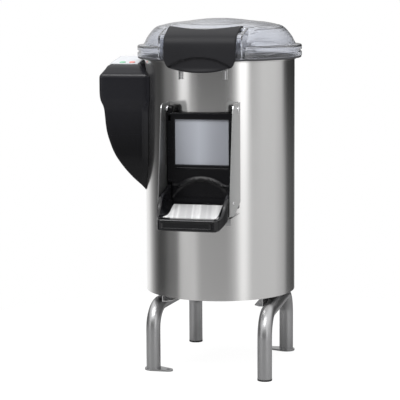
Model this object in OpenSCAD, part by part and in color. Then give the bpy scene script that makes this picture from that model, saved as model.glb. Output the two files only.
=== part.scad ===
// Electric potato peeler: a steel drum on two bent-tube leg frames, with a clear lid,
// a discharge gate over a spout at the front and a control housing on the left side.
// Z is up and the outlet faces -Y. The origin lies on the floor under the drum's axis.

/* [Drum] */
// Outside diameter of the steel drum
drum_od = 360; // [340:2:400]
// Wall thickness of the drum
drum_wall = 2; // [1.5:0.5:3]
// Height of the drum from its lower edge to its rim
drum_h = 560; // [540:5:600]
// Height of the drum's lower edge above the floor
leg_h = 182; // [160:1:230]
// Height of the chamber floor above the drum's lower edge
floor_h = 193; // [188:1:200]
// Thickness of the chamber floor plate
floor_t = 3; // [2:0.5:4]
// Thickness of the abrasive lining
liner_t = 6; // [4:0.5:8]
// Distance from the drum's rim down to the abrasive lining
liner_drop = 56; // [50:1:120]
// Thickness of the bottom plate
bottom_t = 2; // [1.5:0.5:3]
// Number of air slots in each row of the bottom plate
slot_count = 7; // [3:1:9]

/* [Disc and shaft] */
// Gap between the abrasive disc and the lining
disc_gap = 6; // [4:0.5:14]
// Thickness of the disc at its rim
disc_t = 11; // [8:1:14]
// Gap between the chamber floor and the disc
drain_gap = 15; // [13:1:20]
// Number of raised waves on the disc
wave_count = 3; // [2:1:5]
// Height of a wave above the disc
wave_h = 11; // [6:1:14]
// Diameter of the main shaft
shaft_d = 25; // [20:1:30]
// Outside diameter of the two shaft bearings
bearing_d = 52; // [46:1:56]
// Height of a bearing
bearing_h = 15; // [12:1:16]
// Wall of the bearing housing
housing_wall = 5; // [4:0.5:8]
// Length of the bearing housing below the chamber floor
housing_l = 108; // [90:1:112]
// Running clearance between a shaft and its bearing, on the radius
fit_gap = 0.05; // [0.02:0.01:0.1]

/* [Belt drive] */
// Diameter of the driven pulley
pulley_d = 150; // [130:2:156]
// Diameter of the motor pulley
motor_pulley_d = 36; // [32:1:40]
// Height of both pulleys
pulley_h = 22; // [18:1:24]
// Width of the belt
belt_w = 9; // [7:1:11]
// Depth of the belt
belt_t = 7; // [5:1:8]
// Distance from the main shaft to the motor shaft
motor_offset = 102; // [101:1:106]
// Diameter of the motor over its fins
motor_d = 124; // [110:2:128]
// Length of the motor's finned case
motor_l = 78; // [60:1:82]
// Number of cooling fins
fin_count = 24; // [12:2:32]
// Diameter of the motor shaft
motor_shaft_d = 14; // [12:1:16]
// Thickness of the motor plate
motor_plate_t = 6; // [4:1:8]

/* [Legs] */
// Diameter of the leg tubes
tube_d = 34; // [30:1:38]
// Wall of the leg tubes
tube_wall = 2; // [1.5:0.5:3]
// Distance between the two feet of one leg frame
leg_span = 314; // [290:2:340]
// Mean distance between the two leg frames
frame_gap = 264; // [250:2:290]
// Shift of both leg frames towards the right
frame_shift = 10; // [0:1:12]
// Shift of each leg frame along its length, to the rear on the left and to the front on the right
frame_stagger = 18; // [0:1:20]
// Angle by which each frame closes in towards the rear
frame_toe = 3.3; // [0:0.1:5]
// Turn of both leg frames about the drum's axis
frame_turn = -1.8; // [-3:0.1:0]
// Centreline radius of the tube bends
bend_r = 54; // [50:1:60]
// Thickness of the floor flanges
flange_t = 4; // [3:0.5:6]
// Circle through the two floor bolt holes, about the drum's axis
floor_pcd = 340; // [330:1:345]
// Direction of the rear floor bolt hole from the drum's axis
floor_angle = 55.5; // [54:0.5:57]
// Diameter of a floor bolt hole
floor_hole_d = 9; // [7:0.5:10]
// Height of the rails between the leg frames and the drum
rail_h = 20; // [17:1:24]
// Width of a rail's lips
rail_w = 22; // [18:1:26]
// Length of a rail
rail_l = 232; // [200:2:250]
// Sheet thickness of the rails
rail_t = 2; // [1.5:0.5:3]

/* [Lid] */
// Outside diameter of the lid's rim
lid_od = 394; // [388:2:398]
// Wall of the clear lid
lid_wall = 4; // [3:0.5:4.5]
// Height of the lid's rim
rim_h = 27; // [25:1:30]
// Height of the dome's shoulder above the rim
shoulder_h = 47; // [42:1:52]
// Height of the crown above the shoulder
crown_h = 21; // [14:1:26]
// Thickness of the lid's gasket
gasket_t = 5; // [4:0.5:6]
// Width of the clear boss that carries the handle
boss_w = 198; // [192:2:210]
// Width of the lid handle
handle_w = 173; // [160:1:180]
// Thickness of the lid handle
handle_t = 10; // [8:1:12]
// Drop of the handle below the lid's rim
handle_drop = 33; // [28:1:36]
// Spread of the handle's upper corners on each side
handle_flare = 5.5; // [0:0.5:8]
// Radius of the finger scoops in the handle
scoop_r = 130; // [110:5:150]
// Depth of the finger scoops
scoop_depth = 4; // [2:0.5:5]
// Diameter of the lid's hinge pin
hinge_pin_d = 8; // [6:1:10]
// Width of the lid's hinge
hinge_w = 90; // [70:5:110]

/* [Outlet] */
// Width of the outlet in the drum
outlet_w = 124; // [110:2:128]
// Height of the outlet
outlet_h = 188; // [180:2:190]
// Height of the outlet's sill above the drum's lower edge
sill_h = 232; // [230:1:236]
// Distance between the two steel cheeks, inside
cheek_gap = 166; // [162:1:172]
// Thickness of a cheek
cheek_t = 2; // [1.5:0.5:3]
// Distance from the drum's axis to the collar's front face
collar_y = 185; // [184:1:190]
// Thickness of the gate
gate_t = 10; // [9:0.5:12]
// Width of the gate below its shoulders
gate_w = 140; // [132:1:141]
// Width of the steel window in the gate
window_w = 127; // [118:1:130]
// Height of the steel window in the gate
window_h = 105; // [96:1:108]
// Diameter of the gate's pivot pins
gate_pin_d = 8; // [6:1:9]
// Reach of the spout from the drum's axis
spout_reach = 336; // [325:1:350]
// Width of the spout's lip
lip_w = 140; // [136:1:144]
// Height of the spout's lip
lip_h = 27; // [24:1:30]
// Wall of the spout's arms
arm_t = 4; // [3:0.5:5]
// Thickness of the steel tray
tray_t = 2; // [1:0.5:3]
// Slope of the steel tray
tray_slope = 5.5; // [4:0.5:6]

/* [Controls] */
// Width of the membrane panel
panel_w = 74; // [68:1:76]
// Depth of the membrane panel
panel_l = 100; // [90:1:104]
// Thickness of the membrane panel
panel_t = 1.5; // [1:0.25:2]
// Slope of the membrane panel
panel_slope = 8; // [5:0.5:8]
// Diameter of a push button
button_d = 15; // [12:1:18]
// Travel of a push button
button_travel = 1.5; // [1:0.1:2]
// Distance between the two push buttons
button_gap = 24; // [20:1:30]
// Wall of the control housing
control_wall = 3; // [2.5:0.5:4]
// Depth of the control housing, front to back
control_l = 170; // [150:5:180]

/* [Services] */
// Diameter of the drain pipe
drain_d = 50; // [40:1:52]
// Length of the drain pipe outside the drum
drain_l = 48; // [40:1:60]
// Diameter of the water inlet's threaded end
inlet_d = 20.9; // [16:0.1:22]
// Length of the water inlet's threaded end
inlet_l = 18; // [14:1:30]
// Bore of the water inlet
inlet_bore = 12; // [8:1:14]

/* [Hidden] */
$fn = 96;

// Seating gap between neighbours that touch on the real machine
seat = 0.2;
// Gap between a fixed and a moving neighbour
play = 0.4;

// Levels of the machine, from the floor up
drum_r = drum_od / 2;
bore_r = drum_r - drum_wall;
rim_z = leg_h + drum_h;
floor_z = leg_h + floor_h;
sill_z = leg_h + sill_h;
head_z = sill_z + outlet_h;
disc_z = floor_z + drain_gap;
disc_top = disc_z + disc_t;
liner_z = disc_z - 4;
liner_h = rim_z - liner_drop - liner_z;
disc_d = 2 * (bore_r - seat - liner_t - disc_gap);
under_floor = floor_z - floor_t;
shaft_r = shaft_d / 2;
bearing_r = bearing_d / 2;
housing_r = bearing_r + housing_wall;
bead_w = 3;
bead_h = 4;

module at_motor() { translate([0, motor_offset, 0]) children(); }

module ring(ro, ri, h) {
  difference() {
    cylinder(r = ro, h = h);
    translate([0, 0, -1]) cylinder(r = ri, h = h + 2);
  }
}

// A hexagon-headed bolt that points down from the origin, head above
module bolt(d, l) {
  cylinder(d = d * 1.75, h = d * 0.65, $fn = 6);
  translate([0, 0, -l]) cylinder(d = d, h = l + 0.01);
}

// A screw with a domed head that points down from the origin
module dome_screw(d, l) {
  head_r = d * 0.95;
  intersection() {
    translate([0, 0, head_r * 0.6 - head_r * 1.133]) sphere(r = head_r * 1.133, $fn = 48);
    cylinder(r = head_r * 1.2, h = head_r);
  }
  translate([0, 0, -l]) cylinder(d = d, h = l + 0.01);
}

// --- Drum -------------------------------------------------------------------

module outlet_cut(grow = 0) {
  translate([-outlet_w / 2 - grow, -drum_r - 20, sill_z - grow])
    cube([outlet_w + 2 * grow, drum_r, outlet_h + 2 * grow]);
}

// Service openings in the drum wall: drain, water inlet and the wiring hole
drain_z = floor_z + drain_d / 2 + 1;
drain_x = 0;
inlet_z = rim_z - 46;
inlet_x = -70;
inlet_shank = 18;
wire_z = leg_h + 120;

module drum_shell() {
  color("silver") difference() {
    rotate_extrude($fn = 180) polygon([
      [bore_r, leg_h], [drum_r, leg_h], [drum_r, rim_z - bead_h],
      [drum_r + bead_w, rim_z - bead_h + 1], [drum_r + bead_w, rim_z - 1],
      [drum_r + bead_w - 1, rim_z], [bore_r, rim_z]]);
    outlet_cut();
    translate([drain_x, 0, drain_z]) rotate([-90, 0, 0]) cylinder(d = drain_d + 1, h = drum_r + 9);
    translate([inlet_x, 0, inlet_z]) rotate([-90, 0, 0]) cylinder(d = inlet_shank + 1, h = drum_r + 9);
    translate([0, 20, wire_z]) rotate([0, -90, 0]) cylinder(d = 24, h = drum_r + 9);
  }
}

module abrasive_liner() {
  color("dimgray") difference() {
    translate([0, 0, liner_z]) ring(bore_r - seat, bore_r - seat - liner_t, liner_h);
    outlet_cut(2);
    translate([drain_x, 0, drain_z]) rotate([-90, 0, 0]) cylinder(d = drain_d + 5, h = drum_r);
    translate([inlet_x, 0, inlet_z]) rotate([-90, 0, 0]) cylinder(d = inlet_shank + 14, h = drum_r);
  }
}

floor_bolt_r = housing_r + 12;

module chamber_floor() {
  color("gainsboro") difference() {
    translate([0, 0, under_floor]) cylinder(r = bore_r - seat, h = floor_t);
    translate([0, 0, under_floor - 1]) cylinder(r = housing_r + seat, h = floor_t + 2);
    for (a = [45 : 90 : 315]) rotate([0, 0, a]) translate([floor_bolt_r, 0, under_floor - 1])
      cylinder(d = 6.4, h = floor_t + 2);
  }
}

module bottom_plate() {
  color("silver") difference() {
    translate([0, 0, leg_h]) cylinder(r = bore_r - seat, h = bottom_t);
    for (i = [0 : slot_count - 1], s = [-1, 1])
      translate([(i - (slot_count - 1) / 2) * 16 - 3, s * 80 - 25, leg_h - 1])
        cube([6, 50, bottom_t + 2]);
    rail_bolt_places() translate([0, 0, leg_h - 1]) cylinder(d = 6.6, h = bottom_t + 2);
  }
}

// --- Disc, shaft and bearings ------------------------------------------------

disc_skirt = 5;
knob_r = 24;
knob_h = 24;

module abrasive_disc() {
  color("dimgray") difference() {
    union() {
      translate([0, 0, disc_z]) rotate_extrude($fn = 180) polygon([
        [0, 4], [disc_d / 2 - disc_skirt, 4], [disc_d / 2 - disc_skirt, 0], [disc_d / 2, 0],
        [disc_d / 2, disc_t - 2], [disc_d / 2 - 2, disc_t], [0, disc_t]]);
      translate([0, 0, disc_z + 1]) cylinder(r = shaft_r + 9, h = disc_t - 2);
      for (i = [0 : wave_count - 1]) rotate([0, 0, i * 360 / wave_count + 30]) wave();
    }
    translate([0, 0, disc_z - 1]) cylinder(r = shaft_r + fit_gap, h = disc_t + 2);
  }
}

// One raised wave: a long low cylinder that lies on the disc along a radius
module wave() {
  wave_r = 34;
  intersection() {
    translate([0, 0, disc_top + wave_h - wave_r]) rotate([0, 90, 0]) cylinder(r = wave_r, h = disc_d);
    translate([0, 0, disc_top - 1]) ring(disc_d / 2 - 6, knob_r + 22, wave_h + 2);
  }
}

module disc_knob() {
  color("silver") translate([0, 0, disc_top]) difference() {
    rotate_extrude() polygon(concat([[0, 0], [knob_r, 0], [knob_r, knob_h - 12]],
      [for (a = [10 : 10 : 80]) [knob_r - 12 + 12 * cos(a), knob_h - 12 + 12 * sin(a)]],
      [[knob_r - 12, knob_h], [0, knob_h]]));
    translate([0, 0, -1]) cylinder(r = shaft_r + fit_gap, h = 11);
  }
}

pulley_z = leg_h + 40;
nut_h = 10;
shaft_bottom = pulley_z - nut_h - 3;

module drive_shaft() {
  color("lightgray") translate([0, 0, shaft_bottom])
    cylinder(r = shaft_r, h = disc_top + 10 - fit_gap - shaft_bottom);
}

housing_z = under_floor - housing_l;
upper_z = under_floor - 8 - bearing_h;
lower_z = housing_z + 4;
boss_top = disc_z - 5;
seal_h = 10;

module bearing_housing() {
  color("darkgray") difference() {
    union() {
      translate([0, 0, housing_z]) cylinder(r = housing_r, h = boss_top - housing_z);
      translate([0, 0, under_floor - 8]) cylinder(r = housing_r + 22, h = 8);
      for (a = [0 : 90 : 270]) rotate([0, 0, a]) translate([0, 0, under_floor - 40])
        rotate([90, 0, 0]) translate([0, 0, -3]) linear_extrude(6)
          polygon([[housing_r - 1, 0], [housing_r + 20, 33], [housing_r - 1, 33]]);
    }
    translate([0, 0, housing_z - 1]) cylinder(r = bearing_r + fit_gap, h = upper_z + bearing_h - housing_z + 1);
    translate([0, 0, under_floor - 20]) cylinder(r = shaft_r + 2, h = 100);
    translate([0, 0, boss_top - seal_h]) cylinder(r = shaft_r + 7, h = seal_h + 1);
    for (a = [45 : 90 : 315]) rotate([0, 0, a]) translate([floor_bolt_r, 0, under_floor - 9])
      cylinder(d = 6.4, h = 10);
  }
}

module bearing(z) {
  translate([0, 0, z]) difference() {
    ring(bearing_r, shaft_r + fit_gap, bearing_h);
    for (h = [-1, bearing_h - 1]) translate([0, 0, h])
      ring((bearing_r + shaft_r) / 2 + 3, (bearing_r + shaft_r) / 2 - 3, 2);
  }
}

module upper_bearing() { color("lightgray") bearing(upper_z); }
module lower_bearing() { color("lightgray") bearing(lower_z); }

module shaft_seal() {
  color("black") translate([0, 0, boss_top - seal_h])
    ring(shaft_r + 7 - fit_gap, shaft_r + fit_gap, seal_h - 1);
}

// --- Belt drive --------------------------------------------------------------

module pulley(r, bore) {
  groove = belt_t + 1.3;
  mid = pulley_h / 2;
  half = belt_w / 2 + 0.3;
  translate([0, 0, pulley_z]) rotate_extrude($fn = 120) polygon([
    [bore, 0], [r, 0], [r, mid - half], [r - groove, mid - half],
    [r - groove, mid + half], [r, mid + half], [r, pulley_h], [bore, pulley_h]]);
}

module driven_pulley() {
  color("gray") difference() {
    pulley(pulley_d / 2, shaft_r + fit_gap);
    for (h = [-1, pulley_h - 6]) translate([0, 0, pulley_z + h]) ring(pulley_d / 2 - 14, shaft_r + 12, 7);
  }
}

module shaft_nut() {
  color("silver") difference() {
    translate([0, 0, pulley_z - nut_h]) cylinder(d = 40, h = nut_h, $fn = 6);
    translate([0, 0, pulley_z - nut_h - 1]) cylinder(r = shaft_r + fit_gap, h = nut_h + 2);
  }
}

module belt_loop(inset) {
  hull() {
    circle(r = pulley_d / 2 - inset);
    translate([0, motor_offset]) circle(r = motor_pulley_d / 2 - inset);
  }
}

module drive_belt() {
  color("black") translate([0, 0, pulley_z + (pulley_h - belt_w) / 2]) linear_extrude(belt_w)
    difference() {
      belt_loop(1);
      belt_loop(1 + belt_t);
    }
}

motor_r = motor_d / 2;
motor_shaft_r = motor_shaft_d / 2;
plate_z = pulley_z + pulley_h + 6;
motor_z = plate_z + motor_plate_t;

module motor_pulley() {
  color("gray") at_motor() pulley(motor_pulley_d / 2, motor_shaft_r + fit_gap);
}

module motor_shaft() {
  color("lightgray") at_motor() translate([0, 0, pulley_z - 4])
    cylinder(r = motor_shaft_r, h = motor_z + 8 - pulley_z + 4);
}

module motor_case() {
  fin_d = 4;
  color("steelblue") at_motor() translate([0, 0, motor_z]) difference() {
    union() {
      cylinder(r = motor_r - 7, h = motor_l);
      cylinder(r = motor_r, h = 8);
      translate([0, 0, motor_l - 6]) cylinder(r = motor_r - 2, h = 6);
      for (i = [0 : fin_count - 1]) rotate([0, 0, i * 360 / fin_count])
        translate([motor_r - 9, -fin_d / 4, 4]) cube([7, fin_d / 2, motor_l - 8]);
    }
    translate([0, 0, -1]) cylinder(r = motor_shaft_r + play, h = 12);
  }
}

fan_cover_h = 20;

module motor_fan_cover() {
  color("dimgray") at_motor() translate([0, 0, motor_z + motor_l]) difference() {
    rotate_extrude() polygon([[0, 0], [motor_r - 2, 0], [motor_r - 2, fan_cover_h - 6],
      [motor_r - 8, fan_cover_h], [0, fan_cover_h]]);
    translate([0, 0, -1]) cylinder(r = motor_r - 10, h = fan_cover_h - 2);
    for (i = [0 : 11]) rotate([0, 0, i * 30]) translate([18, -2, fan_cover_h - 5]) cube([26, 4, 9]);
  }
}

stud_places = [[-62, 46], [62, 46], [-58, 150], [58, 150]];

module motor_plate() {
  color("darkgray") difference() {
    translate([-74, 34, plate_z]) cube([148, 126, motor_plate_t]);
    at_motor() translate([0, 0, plate_z - 1]) cylinder(r = motor_shaft_r + 8, h = motor_plate_t + 2);
    translate([0, 0, plate_z - 1]) cylinder(r = housing_r + 6, h = motor_plate_t + 2);
    for (s = [-1, 1]) translate([s * 74, 160, plate_z - 1]) rotate([0, 0, 45])
      cube([20, 20, 30], center = true);
  }
}

module motor_studs() {
  color("silver") for (p = stud_places) translate([p[0], p[1], motor_z])
    cylinder(d = 10, h = under_floor - motor_z);
}

// --- Leg frames --------------------------------------------------------------

run_z = leg_h - 29;
tube_r = tube_d / 2;
rise_h = run_z - bend_r - flange_t;
run_l = leg_span - 2 * bend_r;

// Places a leg frame: its length lies along Y, s is -1 on the left and 1 on the right
module frame_place(s) {
  rotate([0, 0, frame_turn])
    translate([frame_shift + s * frame_gap / 2, -s * frame_stagger + 3, 0])
      rotate([0, 0, s * frame_toe]) children();
}

module bent_tube(r) {
  for (e = [-1, 1]) {
    translate([0, e * leg_span / 2, flange_t]) cylinder(r = r, h = rise_h);
    translate([0, e * run_l / 2, run_z - bend_r]) rotate([90, 0, e * 90])
      rotate_extrude(angle = 90) translate([bend_r, 0]) circle(r = r);
  }
  translate([0, -run_l / 2, run_z]) rotate([-90, 0, 0]) cylinder(r = r, h = run_l);
}

module leg_frame(s) {
  color("silver") frame_place(s) difference() {
    bent_tube(tube_r);
    bent_tube(tube_r - tube_wall);
    for (e = [-1, 1]) translate([0, e * leg_span / 2, flange_t - 1]) cylinder(r = tube_r - tube_wall, h = 3);
  }
}

module left_leg_frame() { leg_frame(-1); }
module right_leg_frame() { leg_frame(1); }

// The foot of a frame, as a point on the floor: e is -1 at the front and 1 at the rear
function turned(p, a) = [p[0] * cos(a) - p[1] * sin(a), p[0] * sin(a) + p[1] * cos(a)];
function foot(s, e) = turned([frame_shift + s * frame_gap / 2, -s * frame_stagger + 3]
  + turned([0, e * leg_span / 2], s * frame_toe), frame_turn);
floor_hole = [floor_pcd / 2 * cos(floor_angle), floor_pcd / 2 * sin(floor_angle)];

// A teardrop flange: round under the tube, with one ear for the floor bolt
module floor_flange(s) {
  at = foot(s, s);
  difference() {
    linear_extrude(flange_t) hull() {
      translate(at) circle(r = tube_r + 4, $fn = 32);
      translate(s * floor_hole) circle(r = 11, $fn = 32);
    }
    translate([s * floor_hole[0], s * floor_hole[1], -1]) cylinder(d = floor_hole_d, h = flange_t + 2);
  }
}

module floor_flanges() {
  color("silver") for (s = [-1, 1]) floor_flange(s);
}

module foot_caps() {
  color("dimgray") for (s = [-1, 1]) translate(foot(s, -s)) {
    cylinder(r = tube_r + 0.3, h = flange_t - seat);
    cylinder(r = tube_r - tube_wall - 0.3, h = 18);
  }
}

rail_z = leg_h - seat - rail_h;
rail_x = sqrt(pow(tube_r, 2) - pow(rail_z - run_z, 2)) + seat;

module rail_bolt_places() {
  for (s = [-1, 1], e = [-1, 1]) frame_place(s)
    translate([-s * (rail_x + rail_w * 0.62), e * rail_l * 0.3 + s * frame_stagger, 0]) children();
}

// A channel beside the tube: web on the tube's inner side and lips towards the axis
module rail(s) {
  color("silver") frame_place(s) difference() {
    translate([-s * rail_x, s * frame_stagger, rail_z]) mirror([s > 0 ? 1 : 0, 0, 0])
      rotate([90, 0, 0]) translate([0, 0, -rail_l / 2]) linear_extrude(rail_l) difference() {
        square([rail_w, rail_h]);
        translate([rail_t, rail_t]) square([rail_w, rail_h - 2 * rail_t]);
      }
    for (e = [-1, 1]) translate([-s * (rail_x + rail_w), e * rail_l / 2 + s * frame_stagger, rail_z - 1])
      rotate([0, 0, 45]) translate([-9, -9, 0]) cube([18, 18, 6]);
    for (e = [-1, 1]) translate([-s * (rail_x + rail_w * 0.62), e * rail_l * 0.3 + s * frame_stagger, rail_z + 5])
      cylinder(d = 6.6, h = rail_h);
  }
}

module left_rail() { rail(-1); }
module right_rail() { rail(1); }

module rail_bolts() {
  color("lightgray") rail_bolt_places() translate([0, 0, leg_h + bottom_t]) bolt(6, 14);
}

// --- Lid ---------------------------------------------------------------------

lid_r = lid_od / 2;
gasket_z = rim_z + play;
lid_z = gasket_z + gasket_t;
rim_top = lid_z + rim_h;
dome_r = lid_r - 14;
shoulder_z = rim_top + shoulder_h - 6;
shoulder_r = dome_r - 44;
crown_z = shoulder_z + crown_h;
groove_d = 3;

// Half section of the dome's outside, from the rim's lower edge up to the crown
function dome_side(t, inset) = [dome_r - inset - 44 * pow(sin(t * 90), 2) * 0.55 - 44 * 0.45 * (1 - cos(t * 90)),
  rim_top + (shoulder_z - rim_top) * sin(t * 90)];
function dome_points(inset) = concat(
  [for (t = [0 : 0.125 : 1]) dome_side(t, 0) - [inset * cos(t * 60), inset * sin(t * 70)]],
  [for (t = [0.2 : 0.2 : 0.8]) [shoulder_r * (1 - t) - inset * 0.3, crown_z - crown_h * pow(1 - t, 2) - inset]],
  [[0, crown_z - inset]]);

module dome_solid() {
  rotate_extrude($fn = 180) polygon(concat([[0, lid_z], [lid_r, lid_z], [lid_r, lid_z + 9],
    [lid_r - groove_d, lid_z + 10], [lid_r - groove_d, lid_z + 14], [lid_r, lid_z + 15],
    [lid_r, rim_top - 3], [lid_r - 2, rim_top - 1], [dome_r + 3, rim_top]], dome_points(0)));
}

module dome_hollow() {
  rotate_extrude($fn = 180) polygon(concat([[0, lid_z - 1], [lid_r - lid_wall - groove_d, lid_z - 1],
    [lid_r - lid_wall - groove_d, rim_top - lid_wall - 2], [dome_r - lid_wall, rim_top - lid_wall]],
    dome_points(lid_wall)));
}

// Side profile of the boss that carries the handle; grow moves its faces outwards.
// Its back edge lies above the dome, so that the handle clears the dome as well
boss_y = lid_r + 3;
boss_lift = 1.6;
module boss_profile(grow, low) {
  polygon([[-boss_y - grow, low], [-boss_y - grow, rim_top + 22 + grow * 0.4],
    [-boss_y + 12 - grow * 0.9, rim_top + 30 + grow * 0.75],
    [-shoulder_r + 4, shoulder_z + boss_lift + grow * 0.74], [-shoulder_r + 4, low]]);
}

module boss_block(w, grow, low) {
  translate([-w / 2, 0, 0]) rotate([90, 0, 90]) linear_extrude(w) boss_profile(grow, low);
}

module lid_dome() {
  color("lightsteelblue", 0.5) difference() {
    union() {
      dome_solid();
      boss_block(boss_w, 0, lid_z);
    }
    dome_hollow();
    boss_block(boss_w - 2 * lid_wall, -lid_wall, lid_z - 1);
    handle_screw_places() rotate([-90, 0, 0]) cylinder(d = 4.4, h = 20);
    hinge_screw_places() rotate([-90, 0, 0]) translate([0, 0, -12]) cylinder(d = 4.4, h = 30);
  }
}

module lid_gasket() {
  color("dimgray") translate([0, 0, gasket_z]) difference() {
    ring(lid_r - 1, bore_r - 1, gasket_t - seat);
    translate([0, 0, -1]) ring(lid_r, lid_r - 2.5, 2.2);
  }
}

handle_z = lid_z - handle_drop;
handle_top = shoulder_z - 1 + handle_t;
handle_bend = rim_top + 22;

module handle_screw_places() {
  for (s = [-1, 1]) translate([s * 60, -boss_y - 6, lid_z + 24]) children();
}

// Front outline of the handle: hollow top edge, full lower edge and round corners
module handle_front() {
  half = handle_w / 2;
  r = 20;
  sag = 15;
  arc_r = (half * half + sag * sag) / (2 * sag);
  intersection() {
    difference() {
      polygon([[-half, handle_z], [half, handle_z], [half, handle_bend],
        [half + handle_flare, handle_top + 2], [-half - handle_flare, handle_top + 2], [-half, handle_bend]]);
      translate([0, handle_top - 7 + 620]) circle(r = 620, $fn = 360);
    }
    union() {
      intersection() {
        translate([0, handle_z + arc_r]) circle(r = arc_r, $fn = 360);
        translate([-half, handle_z - 1]) square([handle_w, 40]);
      }
      translate([-half - 20, handle_z + 38]) square([handle_w + 40, 200]);
    }
    union() {
      for (s = [-1, 1]) translate([s * (half - r), handle_z + sag + r]) circle(r = r);
      translate([-half + r, handle_z - 1]) square([handle_w - 2 * r, 300]);
      translate([-half - 20, handle_z + sag + r]) square([handle_w + 40, 300]);
    }
  }
}

module lid_handle() {
  color("#2b2b2e") difference() {
    intersection() {
      translate([0, -100, 0]) rotate([90, 0, 0]) linear_extrude(160) handle_front();
      difference() {
        boss_block(handle_w + 40, handle_t, handle_z - 1);
        boss_block(handle_w + 42, seat, handle_z - 2);
      }
    }
    translate([0, -boss_y - handle_t + scoop_depth, handle_z + 37 - scoop_r])
      rotate([90, 0, 0]) cylinder(r = scoop_r, h = 20, $fn = 240);
    handle_screw_places() rotate([-90, 0, 0]) cylinder(d = 3.6, h = 20);
  }
}

module handle_screws() {
  color("silver") for (s = [-1, 1]) translate([s * 60, -boss_y + lid_wall + seat, lid_z + 24])
    rotate([-90, 0, 0]) dome_screw(3.4, 9);
}

// --- Lid hinge ---------------------------------------------------------------

hinge_y = lid_r + 12;
hinge_z = lid_z + 8;
knuckle_r = hinge_pin_d / 2 + 4;

module hinge_screw_places() {
  for (s = [-1, 1]) translate([s * 24, lid_r, lid_z + 19]) children();
}

// The leaf on the lid: a curved plate on the rim with one long centre knuckle
module hinge_leaf() {
  color("silver") difference() {
    union() {
      intersection() {
        translate([0, 0, lid_z + 1]) ring(lid_r + 3, lid_r + seat, rim_h - 4);
        translate([-36, 0, lid_z]) cube([72, lid_r + 20, rim_h]);
      }
      translate([-hinge_w / 4, hinge_y, hinge_z]) rotate([0, 90, 0]) cylinder(r = knuckle_r, h = hinge_w / 2);
      translate([-hinge_w / 4, lid_r, hinge_z - 2]) difference() {
        cube([hinge_w / 2, 12, 5]);
        translate([hinge_w / 4, -lid_r, -1]) cylinder(r = lid_r + seat, h = 9, $fn = 180);
      }
    }
    translate([-hinge_w, hinge_y, hinge_z]) rotate([0, 90, 0]) cylinder(r = hinge_pin_d / 2 + fit_gap, h = 2 * hinge_w);
    hinge_screw_places() rotate([-90, 0, 0]) translate([0, 0, -12]) cylinder(d = 4.4, h = 30);
  }
}

// The bracket on the drum: a curved plate with two arms that carry the pin
module hinge_bracket() {
  plate_h = 46;
  plate_top = rim_z - bead_h - 3;
  color("silver") difference() {
    union() {
      intersection() {
        translate([0, 0, plate_top - plate_h]) ring(drum_r + 3.2, drum_r + seat, plate_h);
        translate([-hinge_w / 2, 0, plate_top - plate_h]) cube([hinge_w, drum_r + 20, plate_h]);
      }
      for (s = [-1, 1]) translate([s * (hinge_w / 2 - 3) - 3, 0, 0]) rotate([90, 0, 90]) linear_extrude(6)
        polygon([[drum_r - 8, plate_top - plate_h], [drum_r + 6, plate_top - plate_h],
          [hinge_y + knuckle_r, hinge_z - 14], [hinge_y + knuckle_r, hinge_z],
          [hinge_y + knuckle_r - 3, hinge_z + knuckle_r - 1], [hinge_y - knuckle_r + 4, hinge_z + knuckle_r - 1],
          [hinge_y - knuckle_r + 1, hinge_z], [hinge_y - knuckle_r + 1, plate_top], [drum_r - 8, plate_top]]);
    }
    translate([0, 0, rim_z - 200]) cylinder(r = drum_r + seat, h = 400, $fn = 180);
    translate([0, 0, rim_z - bead_h - 1]) cylinder(r = drum_r + bead_w + seat, h = 400, $fn = 180);
    translate([0, 0, gasket_z - 1]) cylinder(r = lid_r + 1, h = 400, $fn = 180);
    translate([-hinge_w, hinge_y, hinge_z]) rotate([0, 90, 0]) cylinder(r = hinge_pin_d / 2 + fit_gap, h = 2 * hinge_w);
  }
}

module hinge_pin() {
  color("lightgray") translate([-hinge_w / 2 - 4, hinge_y, hinge_z]) rotate([0, 90, 0])
    cylinder(d = hinge_pin_d, h = hinge_w + 8);
}

module hinge_screws() {
  color("silver") for (s = [-1, 1]) translate([s * 24, lid_r + 3, lid_z + 19])
    translate([0, sqrt(pow(lid_r + 3, 2) - 24 * 24) - lid_r - 2.4, 0])
      rotate([-90, 0, 0]) dome_screw(4, 9);
}

// The latch plate on the drum, under the handle, with a hooked upper edge
latch_top = rim_z - bead_h - 2;
latch_z = handle_z - 14;
module latch_plate() {
  color("silver") difference() {
    intersection() {
      union() {
        translate([0, 0, latch_z]) ring(drum_r + 2.2, drum_r + seat, latch_top - latch_z);
        translate([0, 0, latch_top - 3]) ring(drum_r + 7, drum_r + seat, 3);
        translate([0, 0, latch_top - 3]) ring(drum_r + 7, drum_r + 5, 7);
        for (s = [-1, 1]) translate([s * 54 - 1, -drum_r - 3, latch_z]) cube([2, 30, 20]);
      }
      translate([-58, -drum_r - 20, latch_z - 1]) cube([116, drum_r, 80]);
    }
    translate([-48, -drum_r - 20, latch_z - 1]) cube([96, drum_r, 19]);
    translate([0, 0, leg_h]) cylinder(r = drum_r + seat, h = drum_h, $fn = 180);
  }
}

module lid_switch() {
  color("#202022") difference() {
    translate([62, 150, rim_z - 52]) cube([34, 42, 38]);
    translate([0, 0, rim_z - 60]) cylinder(r = drum_r + seat, h = 80, $fn = 180);
  }
}

// --- Outlet: cheeks, collar, gate and spout -----------------------------------

cheek_in = cheek_gap / 2;
pivot_y = -(collar_y - 2);
pivot_z = head_z + 30;
cheek_top = pivot_z + 16;
spout_top = sill_z + 45;

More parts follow.
